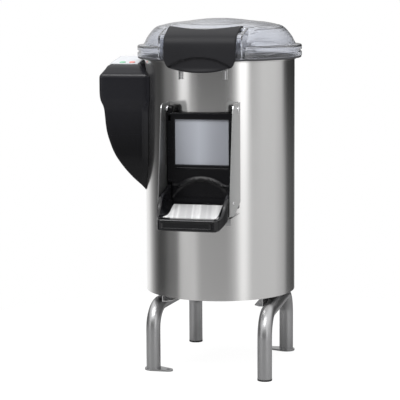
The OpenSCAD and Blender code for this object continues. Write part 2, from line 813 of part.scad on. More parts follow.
function cheek_outline() = [[-drum_r + 34, sill_z + 6], [-drum_r + 28, sill_z + 4],
  [-collar_y - 42, sill_z - 22], [-collar_y - 85, sill_z - 18], [-collar_y - 86, sill_z - 14],
  [-collar_y - 51, cheek_top - 20], [-collar_y - 48.5, cheek_top - 10], [-collar_y - 44, cheek_top - 4],
  [-collar_y - 38, cheek_top - 1], [-collar_y - 31, cheek_top], [-drum_r + 34, cheek_top]];
cheek_screw_places = [[-collar_y - 49, sill_z + 8]];

module cheek(s) {
  color("silver") difference() {
    translate([s > 0 ? cheek_in : -cheek_in - cheek_t, 0, 0]) rotate([90, 0, 90])
      linear_extrude(cheek_t) polygon(cheek_outline());
    translate([0, 0, leg_h]) cylinder(r = drum_r + seat, h = drum_h, $fn = 180);
    translate([s * cheek_in, pivot_y, pivot_z]) rotate([0, 90, 0])
      cylinder(d = gate_pin_d + 0.2, h = 30, center = true);
    for (p = cheek_screw_places) translate([s * cheek_in, p[0], p[1]]) rotate([0, 90, 0])
      cylinder(d = 4.4, h = 30, center = true);
  }
}

module left_cheek() { cheek(-1); }
module right_cheek() { cheek(1); }

module cheek_screws() {
  color("lightgray") for (s = [-1, 1], p = cheek_screw_places)
    translate([s * (cheek_in + cheek_t), p[0], p[1]]) rotate([0, s * 90, 0]) dome_screw(4, 5);
}

// The collar: a black moulded frame that fills the space between drum and gate
collar_w = cheek_gap - 2 * seat;
module outlet_collar() {
  color("#232326") difference() {
    translate([-collar_w / 2, -collar_y, sill_z - 12]) cube([collar_w, 60, outlet_h + 30]);
    translate([0, 0, leg_h]) cylinder(r = drum_r + seat, h = drum_h, $fn = 180);
    outlet_cut();
    translate([-outlet_w / 2 - 5, -collar_y - 1, sill_z - 5])
      cube([outlet_w + 10, 3.5, outlet_h + 10]);
    for (s = [-1, 1]) translate([s * (cheek_gap / 2 - 4.5) - 5.5, -collar_y - 1, head_z - 2])
      cube([11, 26, 60]);
  }
}

module gate_seal() {
  color("dimgray") difference() {
    translate([-outlet_w / 2 - 5 + seat, -collar_y, sill_z - 5 + seat])
      cube([outlet_w + 10 - 2 * seat, 2.3, outlet_h + 10 - 2 * seat]);
    outlet_cut();
  }
}

gate_back = collar_y + play;
gate_low = sill_z - 2;
gate_wide = cheek_gap - 3;
window_z = gate_low + 92;
shoulder_low = spout_top + 5;

module gate_outline() {
  translate([-gate_wide / 2, shoulder_low]) square([gate_wide, pivot_z - 8 - shoulder_low]);
  translate([-gate_w / 2, gate_low]) square([gate_w, shoulder_low + 1 - gate_low]);
}

module gate_frame() {
  color("#232326") difference() {
    union() {
      translate([0, -gate_back, 0]) rotate([90, 0, 0]) linear_extrude(gate_t) gate_outline();
      for (s = [-1, 1]) translate([s > 0 ? gate_wide / 2 - 6 : -gate_wide / 2, 0, 0])
        rotate([90, 0, 90]) linear_extrude(6) hull() {
          translate([pivot_y, pivot_z]) circle(r = 9, $fn = 32);
          translate([-gate_back - gate_t, pivot_z - 26]) square([gate_t, 8]);
        }
      translate([0, 0, window_z - 7]) rotate([90, 0, 0]) translate([0, 0, gate_back + gate_t - 1])
        linear_extrude(4) polygon([[-window_w / 2, 0], [window_w / 2, 0], [window_w / 2 - 2, 3], [-window_w / 2 + 2, 3]]);
      gate_grip();
    }
    translate([-window_w / 2 - 2, -gate_back - gate_t + 5, window_z - 2])
      cube([window_w + 4, 2.4, window_h + 4]);
    translate([-window_w / 2, -gate_back - gate_t - 9, window_z]) cube([window_w, 15, window_h]);
    translate([-window_w / 2 + 8, -gate_back - gate_t, window_z + 8]) cube([window_w - 16, gate_t + 2, window_h - 16]);
    for (s = [-1, 1]) translate([s * gate_wide / 2, pivot_y, pivot_z]) rotate([0, 90, 0])
      cylinder(r = gate_pin_d / 2 + fit_gap, h = 40, center = true);
    grip_hollow();
  }
}

// The grip below the window: a ridge along an arc over a finger hollow
grip_r = 61;
grip_z = gate_low + 64;
module gate_grip() {
  intersection() {
    translate([0, -gate_back - gate_t + 1, grip_z - grip_r]) rotate([90, 0, 0])
      cylinder(r = grip_r, h = 9, $fn = 180);
    translate([-47, -gate_back - gate_t - 20, grip_z - 30]) cube([94, 30, 40]);
  }
}

module grip_hollow() {
  intersection() {
    translate([0, -gate_back - gate_t + 5, grip_z - 10 - grip_r]) rotate([90, 0, 0])
      cylinder(r = grip_r, h = 30, $fn = 180);
    translate([-56, -gate_back - gate_t - 20, gate_low - 1]) cube([112, 30, 80]);
  }
}

module gate_window() {
  color("silver") translate([-window_w / 2 - 2 + seat, -gate_back - gate_t + 5 + seat, window_z - 2 + seat])
    cube([window_w + 4 - 2 * seat, 2, window_h + 4 - 2 * seat]);
}

// Pivot pins with a domed head on the outside and a domed nut on the inside
module gate_pins() {
  nut_x = gate_wide / 2 - 6 - play;
  color("silver") for (s = [-1, 1]) translate([0, pivot_y, pivot_z]) rotate([0, s * 90, 0]) {
    translate([0, 0, nut_x - 1]) cylinder(d = gate_pin_d, h = cheek_in + cheek_t + 1.2 - nut_x);
    translate([0, 0, cheek_in + cheek_t]) rotate_extrude() polygon([[0, 0], [8, 0], [7.5, 2], [5, 4.2], [0, 5]]);
    translate([0, 0, nut_x - 7]) rotate_extrude() polygon([[0, 0], [3.5, 0.8], [6, 3], [6.5, 7], [0, 7]]);
  }
}

// The spout: two arms that close in towards a cross lip, moulded in one
spout_back = gate_back + gate_t + 1.5;
arm_w = cheek_gap - 6;
module spout_plan(inset) {
  w = arm_w / 2 - inset;
  l = lip_w / 2 - inset;
  polygon([[-w, -spout_back], [-w, -spout_back - 40], [-l - 1, -spout_reach + 14], [-l + 2, -spout_reach + 4],
    [-l + 9, -spout_reach], [l - 9, -spout_reach], [l - 2, -spout_reach + 4], [l + 1, -spout_reach + 14],
    [w, -spout_back - 40], [w, -spout_back]]);
}

function spout_side() = [[-spout_back, sill_z - 22], [-spout_back - 62, sill_z - 22],
  [-spout_reach + 16, lip_low], [-spout_reach + 2, lip_low], [-spout_reach, lip_low + 3],
  [-spout_reach, lip_low + lip_h - 5], [-spout_reach + 5, lip_low + lip_h],
  [-spout_reach + 15, lip_low + lip_h + 1], [-spout_reach + 27, lip_low + lip_h + 4],
  [-spout_reach + 40, lip_low + lip_h + 14], [-spout_reach + 53, lip_low + lip_h + 30],
  [-spout_reach + 65, lip_low + lip_h + 40], [-spout_reach + 78, lip_low + lip_h + 46],
  [-spout_back, spout_top]];
lip_low = sill_z - 44;

tray_back = collar_y - 4;
module tray_place() {
  translate([0, -spout_back, sill_z - 4]) rotate([tray_slope, 0, 0]) children();
}

module spout() {
  color("#232326") difference() {
    intersection() {
      linear_extrude(sill_z + 200) difference() {
        spout_plan(0);
        intersection() {
          spout_plan(arm_t);
          translate([-200, -spout_reach + 14]) square([400, 300]);
        }
      }
      translate([-200, 0, 0]) rotate([90, 0, 90]) linear_extrude(400) polygon(spout_side());
    }
    translate([-lip_w / 2 + 9, -spout_reach - 4, lip_low + 7]) cube([lip_w - 18, 7, lip_h - 15]);
    for (s = [-1, 1]) translate([s * arm_w / 2, cheek_screw_places[0][0], cheek_screw_places[0][1]])
      rotate([0, 90, 0]) cylinder(d = 4.1, h = 12, center = true);
  }
  color("#232326") intersection() {
    linear_extrude(sill_z + 200) difference() {
      spout_plan(arm_t - 0.5);
      spout_plan(arm_t + 5);
    }
    tray_place() translate([-200, -140, -3 - seat]) cube([400, 136, 3]);
    translate([-200, -spout_reach + 13, 0]) cube([400, 400, 1000]);
  }
}

module spout_tray() {
  color("gainsboro") intersection() {
    linear_extrude(sill_z + 200) intersection() {
      spout_plan(arm_t + seat);
      translate([-200, -spout_reach + 14 + seat]) square([400, 400]);
    }
    tray_place() translate([-200, -180, 0]) cube([400, 400, tray_t]);
  }
}

// The steel strip under the spout that ties the two cheeks together, with a turned-down edge
module spout_support() {
  half = cheek_in - seat;
  color("silver") difference() {
    union() {
      translate([-half, -collar_y - 70, sill_z - 24 - 2]) cube([2 * half, 100, 2]);
      translate([-half, -collar_y - 70, sill_z - 40]) cube([2 * half, 2, 16]);
    }
    translate([0, 0, leg_h]) cylinder(r = drum_r + seat, h = drum_h, $fn = 180);
  }
}

// --- Control housing ----------------------------------------------------------

control_x = drum_r + 96;
control_y = 95;
front_z = rim_z - 42;
panel_z = front_z + 27;
waist_z = front_z - 62;
tail_z = leg_h + 243;
panel_y = -control_y + 35;
panel_x = -drum_r - 6 - panel_w;

// Front outline: a wide head, a waist and a belly that runs out in a curve on the drum.
// Each point is the share of the width, and the share of the height from the tail to the waist
control_curve = [[0, 0.01], [0.137, 0.092], [0.26, 0.154], [0.382, 0.216], [0.5, 0.284], [0.598, 0.346],
  [0.686, 0.405], [0.755, 0.465], [0.82, 0.535], [0.873, 0.611], [0.925, 0.695], [0.961, 0.778],
  [0.982, 0.87], [0.99, 0.962], [1, 1]];
module control_front(inset) {
  run = control_x - drum_r - 14;
  offset(delta = -inset) polygon(concat(
    [for (p = control_curve) [-drum_r + 20 - p[0] * (run + 20), tail_z + p[1] * (waist_z - 28 - tail_z)]],
    [[-control_x + 13, waist_z - 18], [-control_x + 11.5, waist_z - 6], [-control_x + 7, waist_z + 2],
      [-control_x + 2.5, waist_z + 11], [-control_x + 1, waist_z + 24], [-control_x, front_z - 10],
      [-control_x + 1.5, front_z - 3], [-control_x + 6, front_z], [panel_x, panel_z],
      [panel_x, panel_z + 20], [-drum_r + 60, panel_z + 20], [-drum_r + 60, tail_z]]));
}

// Side outline: upright front and rear, a sloped shoulder and the panel's incline
module control_side(inset) {
  rear = control_l - control_y;
  offset(delta = -inset) polygon([[-control_y, tail_z - 5], [-control_y, front_z - 4], [-control_y + 3, front_z],
    [panel_y, panel_z], [panel_y + panel_l * cos(panel_slope), panel_z + panel_l * sin(panel_slope)],
    [rear - 8, panel_z + 4], [rear, panel_z - 14], [rear, tail_z - 5]]);
}

module control_block(inset) {
  intersection() {
    translate([0, 200, 0]) rotate([90, 0, 0]) linear_extrude(400) control_front(inset);
    translate([-400, 0, 0]) rotate([90, 0, 90]) linear_extrude(400) control_side(inset);
    control_plan(inset);
  }
}

// Seen from above, the outer corners are round and the head narrows to the panel's width
module control_plan(inset) {
  r = 14;
  rear = control_l - control_y;
  translate([0, 0, leg_h]) linear_extrude(rim_z) offset(delta = -inset) polygon(concat(
    [for (a = [180 : 15 : 270]) [-control_x + r + r * cos(a), -control_y + r + r * sin(a)]],
    [[0, -control_y], [0, rear]],
    [for (a = [90 : 15 : 180]) [-control_x + r + r * cos(a), rear - r + r * sin(a)]]));
}

// The panel's own plane: its origin is the front edge's middle, Y runs up the slope
module on_panel() {
  translate([panel_x + panel_w / 2, panel_y, panel_z]) rotate([panel_slope, 0, 0]) children();
}

button_x = 5;
module button_places() {
  for (s = [-1, 1]) translate([s * button_gap / 2 + button_x, 18, 0]) children();
}

module lid_relief() {
  translate([0, 0, rim_z - 4]) cylinder(r = lid_r + 2, h = 100, $fn = 180);
}

gland_z = front_z - 150;
gland_x = -drum_r - 40;

module control_housing() {
  color("#26272a") difference() {
    control_block(0);
    control_block(control_wall);
    translate([0, 0, leg_h]) cylinder(r = drum_r + seat, h = drum_h, $fn = 180);
    translate([0, 0, rim_z - bead_h - 2]) cylinder(r = drum_r + bead_w + 1, h = 60, $fn = 180);
    lid_relief();
    on_panel() button_places() translate([0, 0, -20]) cylinder(d = button_d - 6 + 2 * play, h = 40);
    translate([gland_x, control_l - control_y - 10, gland_z]) rotate([-90, 0, 0]) cylinder(d = 20.4, h = 20);
  }
}

module membrane_panel() {
  color("whitesmoke") difference() {
    on_panel() translate([-panel_w / 2 + 2, 2, seat]) cube([panel_w - 4, panel_l - 4, panel_t]);
    on_panel() button_places() translate([0, 0, -1]) cylinder(d = button_d + 2 * play, h = 6);
    lid_relief();
  }
}

module button(s) {
  on_panel() translate([s * button_gap / 2 + button_x, 18, 0]) {
    translate([0, 0, button_travel + 0.4]) rotate_extrude() polygon([[0, 0], [button_d / 2, 0],
      [button_d / 2, 0.8], [button_d / 2 - 1, 1.6], [0, 1.9]]);
    translate([0, 0, -9]) cylinder(d = button_d - 6, h = 9 + button_travel + 0.5);
  }
}

module start_button() { color("green") button(-1); }
module stop_button() { color("red") button(1); }

board_w = 56;
board_l = 88;
board_drop = 9 + button_travel + 0.5 + 1.6;

module circuit_board() {
  color("darkgreen") on_panel() translate([-board_w / 2, 6, -board_drop - 1.6]) {
    cube([board_w, board_l, 1.6]);
    translate([6, 36, 1.59]) cube([20, 26, 6]);
    translate([32, 40, 1.59]) cube([16, 16, 5]);
  }
}

module board_posts() {
  color("silver") on_panel() for (x = [-1, 1], y = [10, board_l + 2])
    translate([x * (board_w / 2 - 5), y, -board_drop]) cylinder(d = 5, h = board_drop - control_wall * 1.02);
}

module cable_gland() {
  color("#202022") translate([gland_x, control_l - control_y, gland_z]) rotate([-90, 0, 0]) difference() {
    union() {
      cylinder(d = 27, h = 6, $fn = 6);
      translate([0, 0, 6]) rotate_extrude() polygon([[0, 0], [11, 0], [11, 8], [8, 14], [0, 14]]);
      translate([0, 0, -8]) cylinder(d = 20, h = 8.01);
    }
    translate([0, 0, -10]) cylinder(d = 9, h = 40);
  }
}

// --- Water inlet and drain ----------------------------------------------------

module water_inlet() {
  wall_y = sqrt(pow(drum_r, 2) - pow(inlet_x, 2));
  color("goldenrod") translate([inlet_x, wall_y, inlet_z]) rotate([-90, 0, 0]) difference() {
    union() {
      translate([0, 0, -14]) cylinder(d = inlet_shank, h = 30);
      translate([0, 0, 10]) cylinder(d = inlet_d + 8, h = 8, $fn = 6);
      translate([0, 0, 17.9]) cylinder(d = inlet_d, h = inlet_l);
    }
    translate([0, 0, -15]) cylinder(d = inlet_bore, h = inlet_l + 40);
  }
}

module inlet_nut() {
  color("goldenrod") difference() {
    translate([inlet_x, 150, inlet_z]) rotate([-90, 0, 0]) difference() {
      cylinder(d = inlet_shank + 9, h = 12, $fn = 6);
      translate([0, 0, -1]) cylinder(d = inlet_shank + 2 * fit_gap, h = 16);
    }
    translate([0, 0, inlet_z - 30]) ring(drum_r + 40, bore_r - seat, 60);
  }
}

module drain_pipe() {
  color("gainsboro") translate([drain_x, 0, drain_z]) rotate([-90, 0, 0]) difference() {
    union() {
      translate([0, 0, bore_r - 6]) cylinder(d = drain_d, h = 24);
      translate([0, 0, bore_r - 6]) cylinder(d = drain_d - 2, h = drain_l + 8);
      translate([0, 0, drum_r + 2]) cylinder(d = drain_d + 14, h = 4);
    }
    translate([0, 0, bore_r - 7]) cylinder(d = drain_d - 6, h = drain_l + 12);
  }
}

module drain_nut() {
  color("dimgray") translate([drain_x, 0, drain_z]) rotate([-90, 0, 0]) difference() {
    translate([0, 0, drum_r + 6.2]) cylinder(d = drain_d + 16, h = 9, $fn = 8);
    translate([0, 0, drum_r]) cylinder(r = drain_d / 2 + fit_gap, h = 20);
  }
}

drum_shell();
abrasive_liner();
chamber_floor();
bottom_plate();
abrasive_disc();
disc_knob();
drive_shaft();
bearing_housing();
upper_bearing();
lower_bearing();
shaft_seal();
driven_pulley();
shaft_nut();
drive_belt();
motor_pulley();
motor_shaft();
motor_case();
motor_fan_cover();
motor_plate();
motor_studs();
left_leg_frame();
right_leg_frame();
floor_flanges();
foot_caps();
left_rail();
right_rail();
rail_bolts();
lid_dome();
lid_gasket();
lid_handle();
handle_screws();
hinge_leaf();
hinge_bracket();
hinge_pin();
hinge_screws();
latch_plate();
lid_switch();
left_cheek();
right_cheek();
cheek_screws();
outlet_collar();
gate_frame();
gate_window();
gate_pins();
gate_seal();
spout();
spout_tray();
spout_support();
control_housing();
membrane_panel();
start_button();
stop_button();
circuit_board();
board_posts();
cable_gland();
water_inlet();
inlet_nut();
drain_pipe();
drain_nut();
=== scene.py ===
import math

import bpy
import numpy as np
from mathutils import Matrix, Vector


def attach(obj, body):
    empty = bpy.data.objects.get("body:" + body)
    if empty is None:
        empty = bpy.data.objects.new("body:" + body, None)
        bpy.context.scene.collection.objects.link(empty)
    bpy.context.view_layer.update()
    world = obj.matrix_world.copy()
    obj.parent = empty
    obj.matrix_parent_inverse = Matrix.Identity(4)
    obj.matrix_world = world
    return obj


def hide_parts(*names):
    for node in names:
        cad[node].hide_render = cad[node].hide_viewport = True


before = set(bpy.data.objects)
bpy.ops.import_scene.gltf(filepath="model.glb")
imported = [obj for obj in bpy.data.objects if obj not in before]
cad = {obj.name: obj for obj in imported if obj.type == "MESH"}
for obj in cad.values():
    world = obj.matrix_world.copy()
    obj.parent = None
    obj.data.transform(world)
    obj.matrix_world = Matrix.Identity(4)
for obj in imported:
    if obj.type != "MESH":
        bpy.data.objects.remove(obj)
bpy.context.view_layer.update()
scene = bpy.context.scene


# --- The steel drum --------------------------------------------------------------
# One rolled and welded stainless sheet with a beaded rim, brushed along its height.
# It stands on the bottom plate's edge, and everything else is bolted to it.

class Value:
    """A number or socket in one node tree, with operators that add Math nodes."""

    def __init__(self, tree, source):
        self.tree = tree
        self.source = source

    def math(self, operation, *others):
        node = self.tree.nodes.new("ShaderNodeMath")
        node.operation = operation
        for slot, value in zip(node.inputs, (self, *others)):
            source = value.source if isinstance(value, Value) else value
            if isinstance(source, (int, float)):
                slot.default_value = source
            else:
                self.tree.links.new(source, slot)
        return Value(self.tree, node.outputs[0])

    def __add__(self, other):
        return self.math("ADD", other)

    def __sub__(self, other):
        return self.math("SUBTRACT", other)

    def __mul__(self, other):
        return self.math("MULTIPLY", other)

    def __truediv__(self, other):
        return self.math("DIVIDE", other)

    def __rsub__(self, other):
        return Value(self.tree, other).math("SUBTRACT", self)

    def __rmul__(self, other):
        return Value(self.tree, other).math("MULTIPLY", self)

    def clamp(self, low=0.0, high=1.0):
        return self.math("MAXIMUM", low).math("MINIMUM", high)


class Nodes:
    """One node tree, with short calls that add nodes to it."""

    def __init__(self, tree):
        self.tree = tree

    def node(self, kind, output=0, **inputs):
        made = self.tree.nodes.new("ShaderNode" + kind)
        for key, value in inputs.items():
            if isinstance(value, Value):
                self.tree.links.new(value.source, made.inputs[key])
            else:
                made.inputs[key].default_value = value
        return Value(self.tree, made.outputs[output])

    def split(self, vector):
        """The x, y and z of a vector."""
        parts = self.tree.nodes.new("ShaderNodeSeparateXYZ")
        self.tree.links.new(vector.source, parts.inputs[0])
        return [Value(self.tree, part) for part in parts.outputs]

    def ray(self, *kinds):
        """1 for rays of the given one or two kinds, and 0 for all others."""
        found = [self.node("LightPath", output=f"Is {kind} Ray") for kind in kinds]
        return found[0] if len(found) == 1 else found[0].math("MAXIMUM", found[1])

    def ramp(self, factor, *stops):
        """A colour ramp; each stop is (position, grey or colour)."""
        out = self.node("ValToRGB", Fac=factor)
        ramp = out.source.node.color_ramp
        while len(ramp.elements) < len(stops):
            ramp.elements.new(0.5)
        for element, (where, shade) in zip(ramp.elements, stops):
            rgb = (shade,) * 3 if isinstance(shade, (int, float)) else shade
            element.position = where
            element.color = (*rgb, 1.0)
        return out


class Material(Nodes):
    """A Principled material: constants go on its sockets, varying values are linked."""

    def __init__(self, name, color, **constants):
        self.data = bpy.data.materials.new(name)
        self.data.use_nodes = True
        super().__init__(self.data.node_tree)
        self.shader = self.tree.nodes["Principled BSDF"]
        self.shader.inputs["Base Color"].default_value = (*color, 1.0)
        self.data.diffuse_color = (*color, 1.0)
        for key, value in constants.items():
            self.shader.inputs[key.replace("_", " ")].default_value = value

    def point(self):
        """The object's own coordinates in metres, as one vector."""
        return self.node("TexCoord", output="Object")

    def place(self):
        """The object's own coordinates in metres, split into x, y and z."""
        return self.split(self.point())

    def vector(self, x, y, z):
        return self.node("CombineXYZ", X=x, Y=y, Z=z)

    def noise(self, vector, scale, detail=2.0, roughness=0.5):
        return self.node("TexNoise", Vector=vector, Scale=scale, Detail=detail, Roughness=roughness)

    def link(self, name, value):
        self.tree.links.new(value.source, self.shader.inputs[name])

    def color_by(self, shade, color):
        """Links Base Color to a colour times a varying shade, in place of any older link."""
        red, green, blue = (shade * part for part in color)
        self.link("Base Color", self.node("CombineColor", Red=red, Green=green, Blue=blue))

    def bump(self, height, strength, distance):
        made = self.node("Bump", Height=height, Strength=strength, Distance=distance)
        self.link("Normal", made)

    def put_on(self, *targets):
        """Gives this material to CAD nodes, by name, or to own objects."""
        for target in targets:
            made = cad[target] if isinstance(target, str) else target
            made.data.materials.clear()
            made.data.materials.append(self.data)


def brushed(name, color, rough, run, tint=0.06, grain=900.0, wear=0.05, metallic=1.0):
    """Satin steel whose fine lines run along one direction.

    run is "y", "z" or "round" (lines along z on a surface round the z axis). tint and wear
    say how far the fine lines and the slow clouds change the shade."""
    steel = Material(name, color, Metallic=metallic)
    x, y, z = steel.place()
    stretch = 0.012
    if run == "round":
        drum_radius = 0.18
        lines = steel.vector(y.math("ARCTAN2", x) * drum_radius, z * stretch, 0.0)
    else:
        squeezed = {"x": x, "y": y, "z": z}
        squeezed[run] = squeezed[run] * stretch
        lines = steel.vector(*squeezed.values())
    fine = steel.noise(lines, grain, 3.0, 0.6)
    cloud = steel.noise(steel.point(), 6.0, 3.0, 0.55)
    shade = fine * tint + cloud * wear + (1.0 - tint / 2 - wear / 2)
    steel.color_by(shade.clamp(0.0, 2.0), color)
    steel.link("Roughness", fine * 0.10 + cloud * 0.06 + (rough - 0.08))
    steel.bump(fine, 0.25, 0.00002)
    return steel


brushed("drum steel", (0.66, 0.655, 0.65), 0.175, "round").put_on("drum_shell")


# --- Legs, rails and bottom ------------------------------------------------------
# Two bent steel tubes with welded plates under their ends, bolted through two rails to
# the bottom plate. Rubber caps close the feet that have no plate.

tube_steel = brushed("tube steel", (0.42, 0.42, 0.425), 0.36, "z", grain=500.0, wear=0.06)
tube_steel.put_on("left_leg_frame", "right_leg_frame", "floor_flanges")
flat_steel = brushed("flat steel", (0.60, 0.60, 0.605), 0.30, "y")
flat_steel.put_on("chamber_floor", "bottom_plate", "motor_plate", "left_rail", "right_rail",
                  "spout_support")


def soft_touch(name, color, rough, grain, depth, clouds=0.12, specular=0.5):
    """A moulded or painted skin: a fine grain as bump, and slow clouds in shade and gloss."""
    skin = Material(name, color, Specular_IOR_Level=specular)
    fine = skin.noise(skin.point(), grain, 3.0, 0.6)
    cloud = skin.noise(skin.point(), 9.0, 3.0, 0.55)
    skin.color_by(cloud * clouds + fine * clouds + (1.0 - clouds), color)
    skin.link("Roughness", (cloud * 0.12 + fine * 0.08 + (rough - 0.1)).clamp())
    skin.bump(fine, 0.35, depth)
    return skin


rubber = soft_touch("rubber", (0.022, 0.022, 0.023), 0.62, 1400.0, 0.0001, specular=0.3)
rubber.put_on("foot_caps", "gate_seal", "shaft_seal", "drive_belt")
gasket_rubber = soft_touch("gasket rubber", (0.06, 0.06, 0.065), 0.6, 1200.0, 0.0001)
gasket_rubber.put_on("lid_gasket")


# --- Screws, pins and shafts -----------------------------------------------------
# Zinc-plated fasteners and turned steel: bright, with fine rings from the lathe. They
# join the sheets and mouldings, and carry the disc and the pulleys.

def turned(name, color, rough):
    """Bright steel with rings stacked along z, and slow stains in shade and gloss."""
    bright = Material(name, color, Metallic=1.0)
    x, y, z = bright.place()
    cloud = bright.noise(bright.point(), 60.0, 3.0, 0.6)
    rings = bright.noise(bright.vector(x * 0.1, y * 0.1, z), 2600.0)
    bright.color_by(cloud * 0.14 + 0.93, color)
    bright.link("Roughness", cloud * 0.14 + rings * 0.08 + (rough - 0.1))
    bright.bump(rings, 0.2, 0.00002)
    return bright


zinc = turned("zinc plate", (0.70, 0.70, 0.71), 0.22)
zinc.put_on("cheek_screws", "rail_bolts", "handle_screws", "hinge_screws", "hinge_pin",
            "shaft_nut", "motor_studs", "board_posts")
shaft_steel = turned("turned steel", (0.62, 0.62, 0.62), 0.26)
shaft_steel.put_on("disc_knob", "drive_shaft", "motor_shaft", "upper_bearing", "lower_bearing")


# --- Chamber and abrasives -------------------------------------------------------
# Silicon carbide grit bonded on the wall's lining and on the turning disc. It is dark,
# with pale grains that stand out of the bond.

grit = Material("abrasive", (0.09, 0.085, 0.08), Roughness=0.85)
grains = grit.noise(grit.point(), 520.0, 4.0, 0.7)
grit.link("Base Color", grit.ramp(grains, (0.3, (0.035, 0.033, 0.032)),
                                  (0.55, (0.10, 0.095, 0.09)), (0.72, (0.26, 0.255, 0.25))))
grit.bump(grains, 0.9, 0.0012)
grit.put_on("abrasive_liner", "abrasive_disc")


# --- Drive -----------------------------------------------------------------------
# A cast bearing housing and cast pulleys under the chamber, and a painted motor with a
# pressed fan cover, which hangs from its plate on four studs.

cast = Material("cast alloy", (0.45, 0.45, 0.45), Metallic=1.0)
pits = cast.noise(cast.point(), 700.0, 4.0, 0.65)
cast.link("Base Color", cast.ramp(pits, (0.25, (0.33, 0.33, 0.335)), (0.75, (0.52, 0.52, 0.525))))
cast.link("Roughness", pits * 0.25 + 0.38)
cast.bump(pits, 0.5, 0.0004)
cast.put_on("bearing_housing", "driven_pulley", "motor_pulley")
soft_touch("motor paint", (0.05, 0.105, 0.21), 0.36, 450.0, 0.0002).put_on("motor_case")
soft_touch("fan cover paint", (0.04, 0.043, 0.048), 0.4, 450.0, 0.0002).put_on("motor_fan_cover")


# --- Cheeks, latch and hinge sheet -----------------------------------------------
# Bent satin sheet, brushed upwards and screwed to the drum, with a brass water inlet.
# The left cheek shows its shaded side in the photo, so its grey is the darker one.

for side, grey in (("left", 0.36), ("right", 0.62)):
    satin = brushed(side + " cheek steel", (grey, grey * 1.01, grey * 1.01), 0.33, "z", tint=0.03,
                    metallic=0.9)
    satin.put_on(side + "_cheek")
sheet = brushed("sheet steel", (0.60, 0.60, 0.605), 0.27, "z")
sheet.put_on("hinge_bracket", "hinge_leaf", "latch_plate", "drain_pipe")
brass = Material("brass", (0.70, 0.52, 0.24), Metallic=1.0)
stain = brass.noise(brass.point(), 90.0, 4.0, 0.6)
brass.link("Base Color", brass.ramp(stain, (0.3, (0.60, 0.43, 0.19)), (0.7, (0.76, 0.58, 0.28))))
brass.link("Roughness", stain * 0.2 + 0.22)
brass.put_on("water_inlet", "inlet_nut")


# --- Black mouldings -------------------------------------------------------------
# Black resins with a leather grain, each with its own gloss: one for the small fittings,
# a deeper one for the gate and its collar, darker as painted shade for their recess, and a
# glossier one for the spout.

black = soft_touch("black plastic", (0.0070, 0.0070, 0.0084), 0.38, 800.0, 0.00012,
                   clouds=0.25, specular=0.28)
black.put_on("lid_switch", "cable_gland", "drain_nut")
# Painted shade: a darker copy of the black, for the shade on the gate, its collar and ears, and the
# spout's inner chutes.
shaded_black = soft_touch("gate plastic with painted shade", (0.0034, 0.0034, 0.0041), 0.28, 800.0, 0.00006,
                        clouds=0.25, specular=0.16)
shaded_black.put_on("outlet_collar")
glossy_black = soft_touch("spout plastic", (0.0036, 0.0036, 0.0045), 0.22, 650.0, 0.00012,
                          clouds=0.25, specular=0.42)


# --- Control panel ---------------------------------------------------------------
# A printed silver film with a dark border line on the housing's slope, two coloured
# buttons in it, and a green circuit board on posts below.

film = Material("panel film", (0.8, 0.8, 0.81))
x, y = film.place()[:2]
print_grain = film.noise(film.point(), 700.0)
middle_x, middle_y = -0.223, -0.010
half_width, half_depth, line_fall = 0.0335, 0.0465, 1400.0
past_border = ((x - middle_x).math("ABSOLUTE") - half_width).math(
    "MAXIMUM", (y - middle_y).math("ABSOLUTE") - half_depth)
line = 1.0 - (past_border * line_fall).math("ABSOLUTE").clamp()
film.link("Base Color", film.ramp((line * 0.8 + print_grain * 0.12).clamp(),
                                  (0.0, (0.56, 0.575, 0.60)), (0.9, (0.16, 0.165, 0.18))))
film.link("Roughness", print_grain * 0.1 + 0.26)
film.put_on("membrane_panel")
soft_touch("green plastic", (0.19, 0.45, 0.29), 0.3, 900.0, 0.00005).put_on("start_button")
soft_touch("red plastic", (0.68, 0.23, 0.21), 0.3, 900.0, 0.00005).put_on("stop_button")
board = Material("board laminate", (0.02, 0.16, 0.06))
x, y = board.place()[:2]
traces = ((x * 2100.0).math("SINE") * (y * 1700.0).math("SINE")).math("GREATER_THAN", 0.35)
board.link("Base Color", board.ramp(traces, (0.0, (0.015, 0.11, 0.045)), (1.0, (0.05, 0.24, 0.10))))
board.link("Roughness", traces * 0.1 + 0.35)
board.put_on("circuit_board")


# --- Window and tray -------------------------------------------------------------
# The gate's satin window sheet, brushed upwards, with a painted highlight down its middle and
# painted shade to its right, and the bright tray in the spout that the potatoes slide over, with
# fine scratches along their way and broad painted reflection streaks slanting across it.

pane = Material("window sheet", (0.5, 0.52, 0.56), Metallic=0.35)
x, y, z = pane.place()
fine = pane.noise(pane.vector(x, y, z * 0.02), 700.0)
# Painted reflection: the colour is lifted into a painted highlight down the sheet's middle, and
# falls off as painted shade towards its right.
highlight_x, highlight_reach = -0.006, 0.050
middle = 1.0 - ((x - highlight_x) / highlight_reach).math("ABSOLUTE").clamp()
painted_shade_right = ((x - 0.01) * 3.0).clamp(0.0, 0.12)
pane.color_by(middle * middle * 0.20 + fine * 0.03 + 0.84 - painted_shade_right, (0.36, 0.375, 0.415))
pane.link("Roughness", fine * 0.08 + 0.46)
pane.put_on("gate_window")
tray = Material("tray sheet", (0.8, 0.8, 0.8), Metallic=0.4)
x, y = tray.place()[:2]
# Painted reflection: the broad bright streaks slanting across the tray are painted into its colour
# for the light its brushed sheet mirrors; the fine scratches are its grain.
streak_slant = 0.21
beside = x + y * streak_slant
painted_reflection_streak = tray.noise(tray.vector(beside, 0.3, 0.0), 46.0, 1.0)
scratch = tray.noise(tray.vector(beside, y * 0.02, 0.0), 1200.0)
tray.link("Base Color", tray.ramp((painted_reflection_streak + scratch * 0.08).clamp(), (0.42, (0.66, 0.66, 0.665)),
                                  (0.50, (1.0, 1.0, 1.0)), (0.64, (0.70, 0.70, 0.705))))
tray.link("Roughness", scratch * 0.12 + 0.38)
tray.put_on("spout_tray")


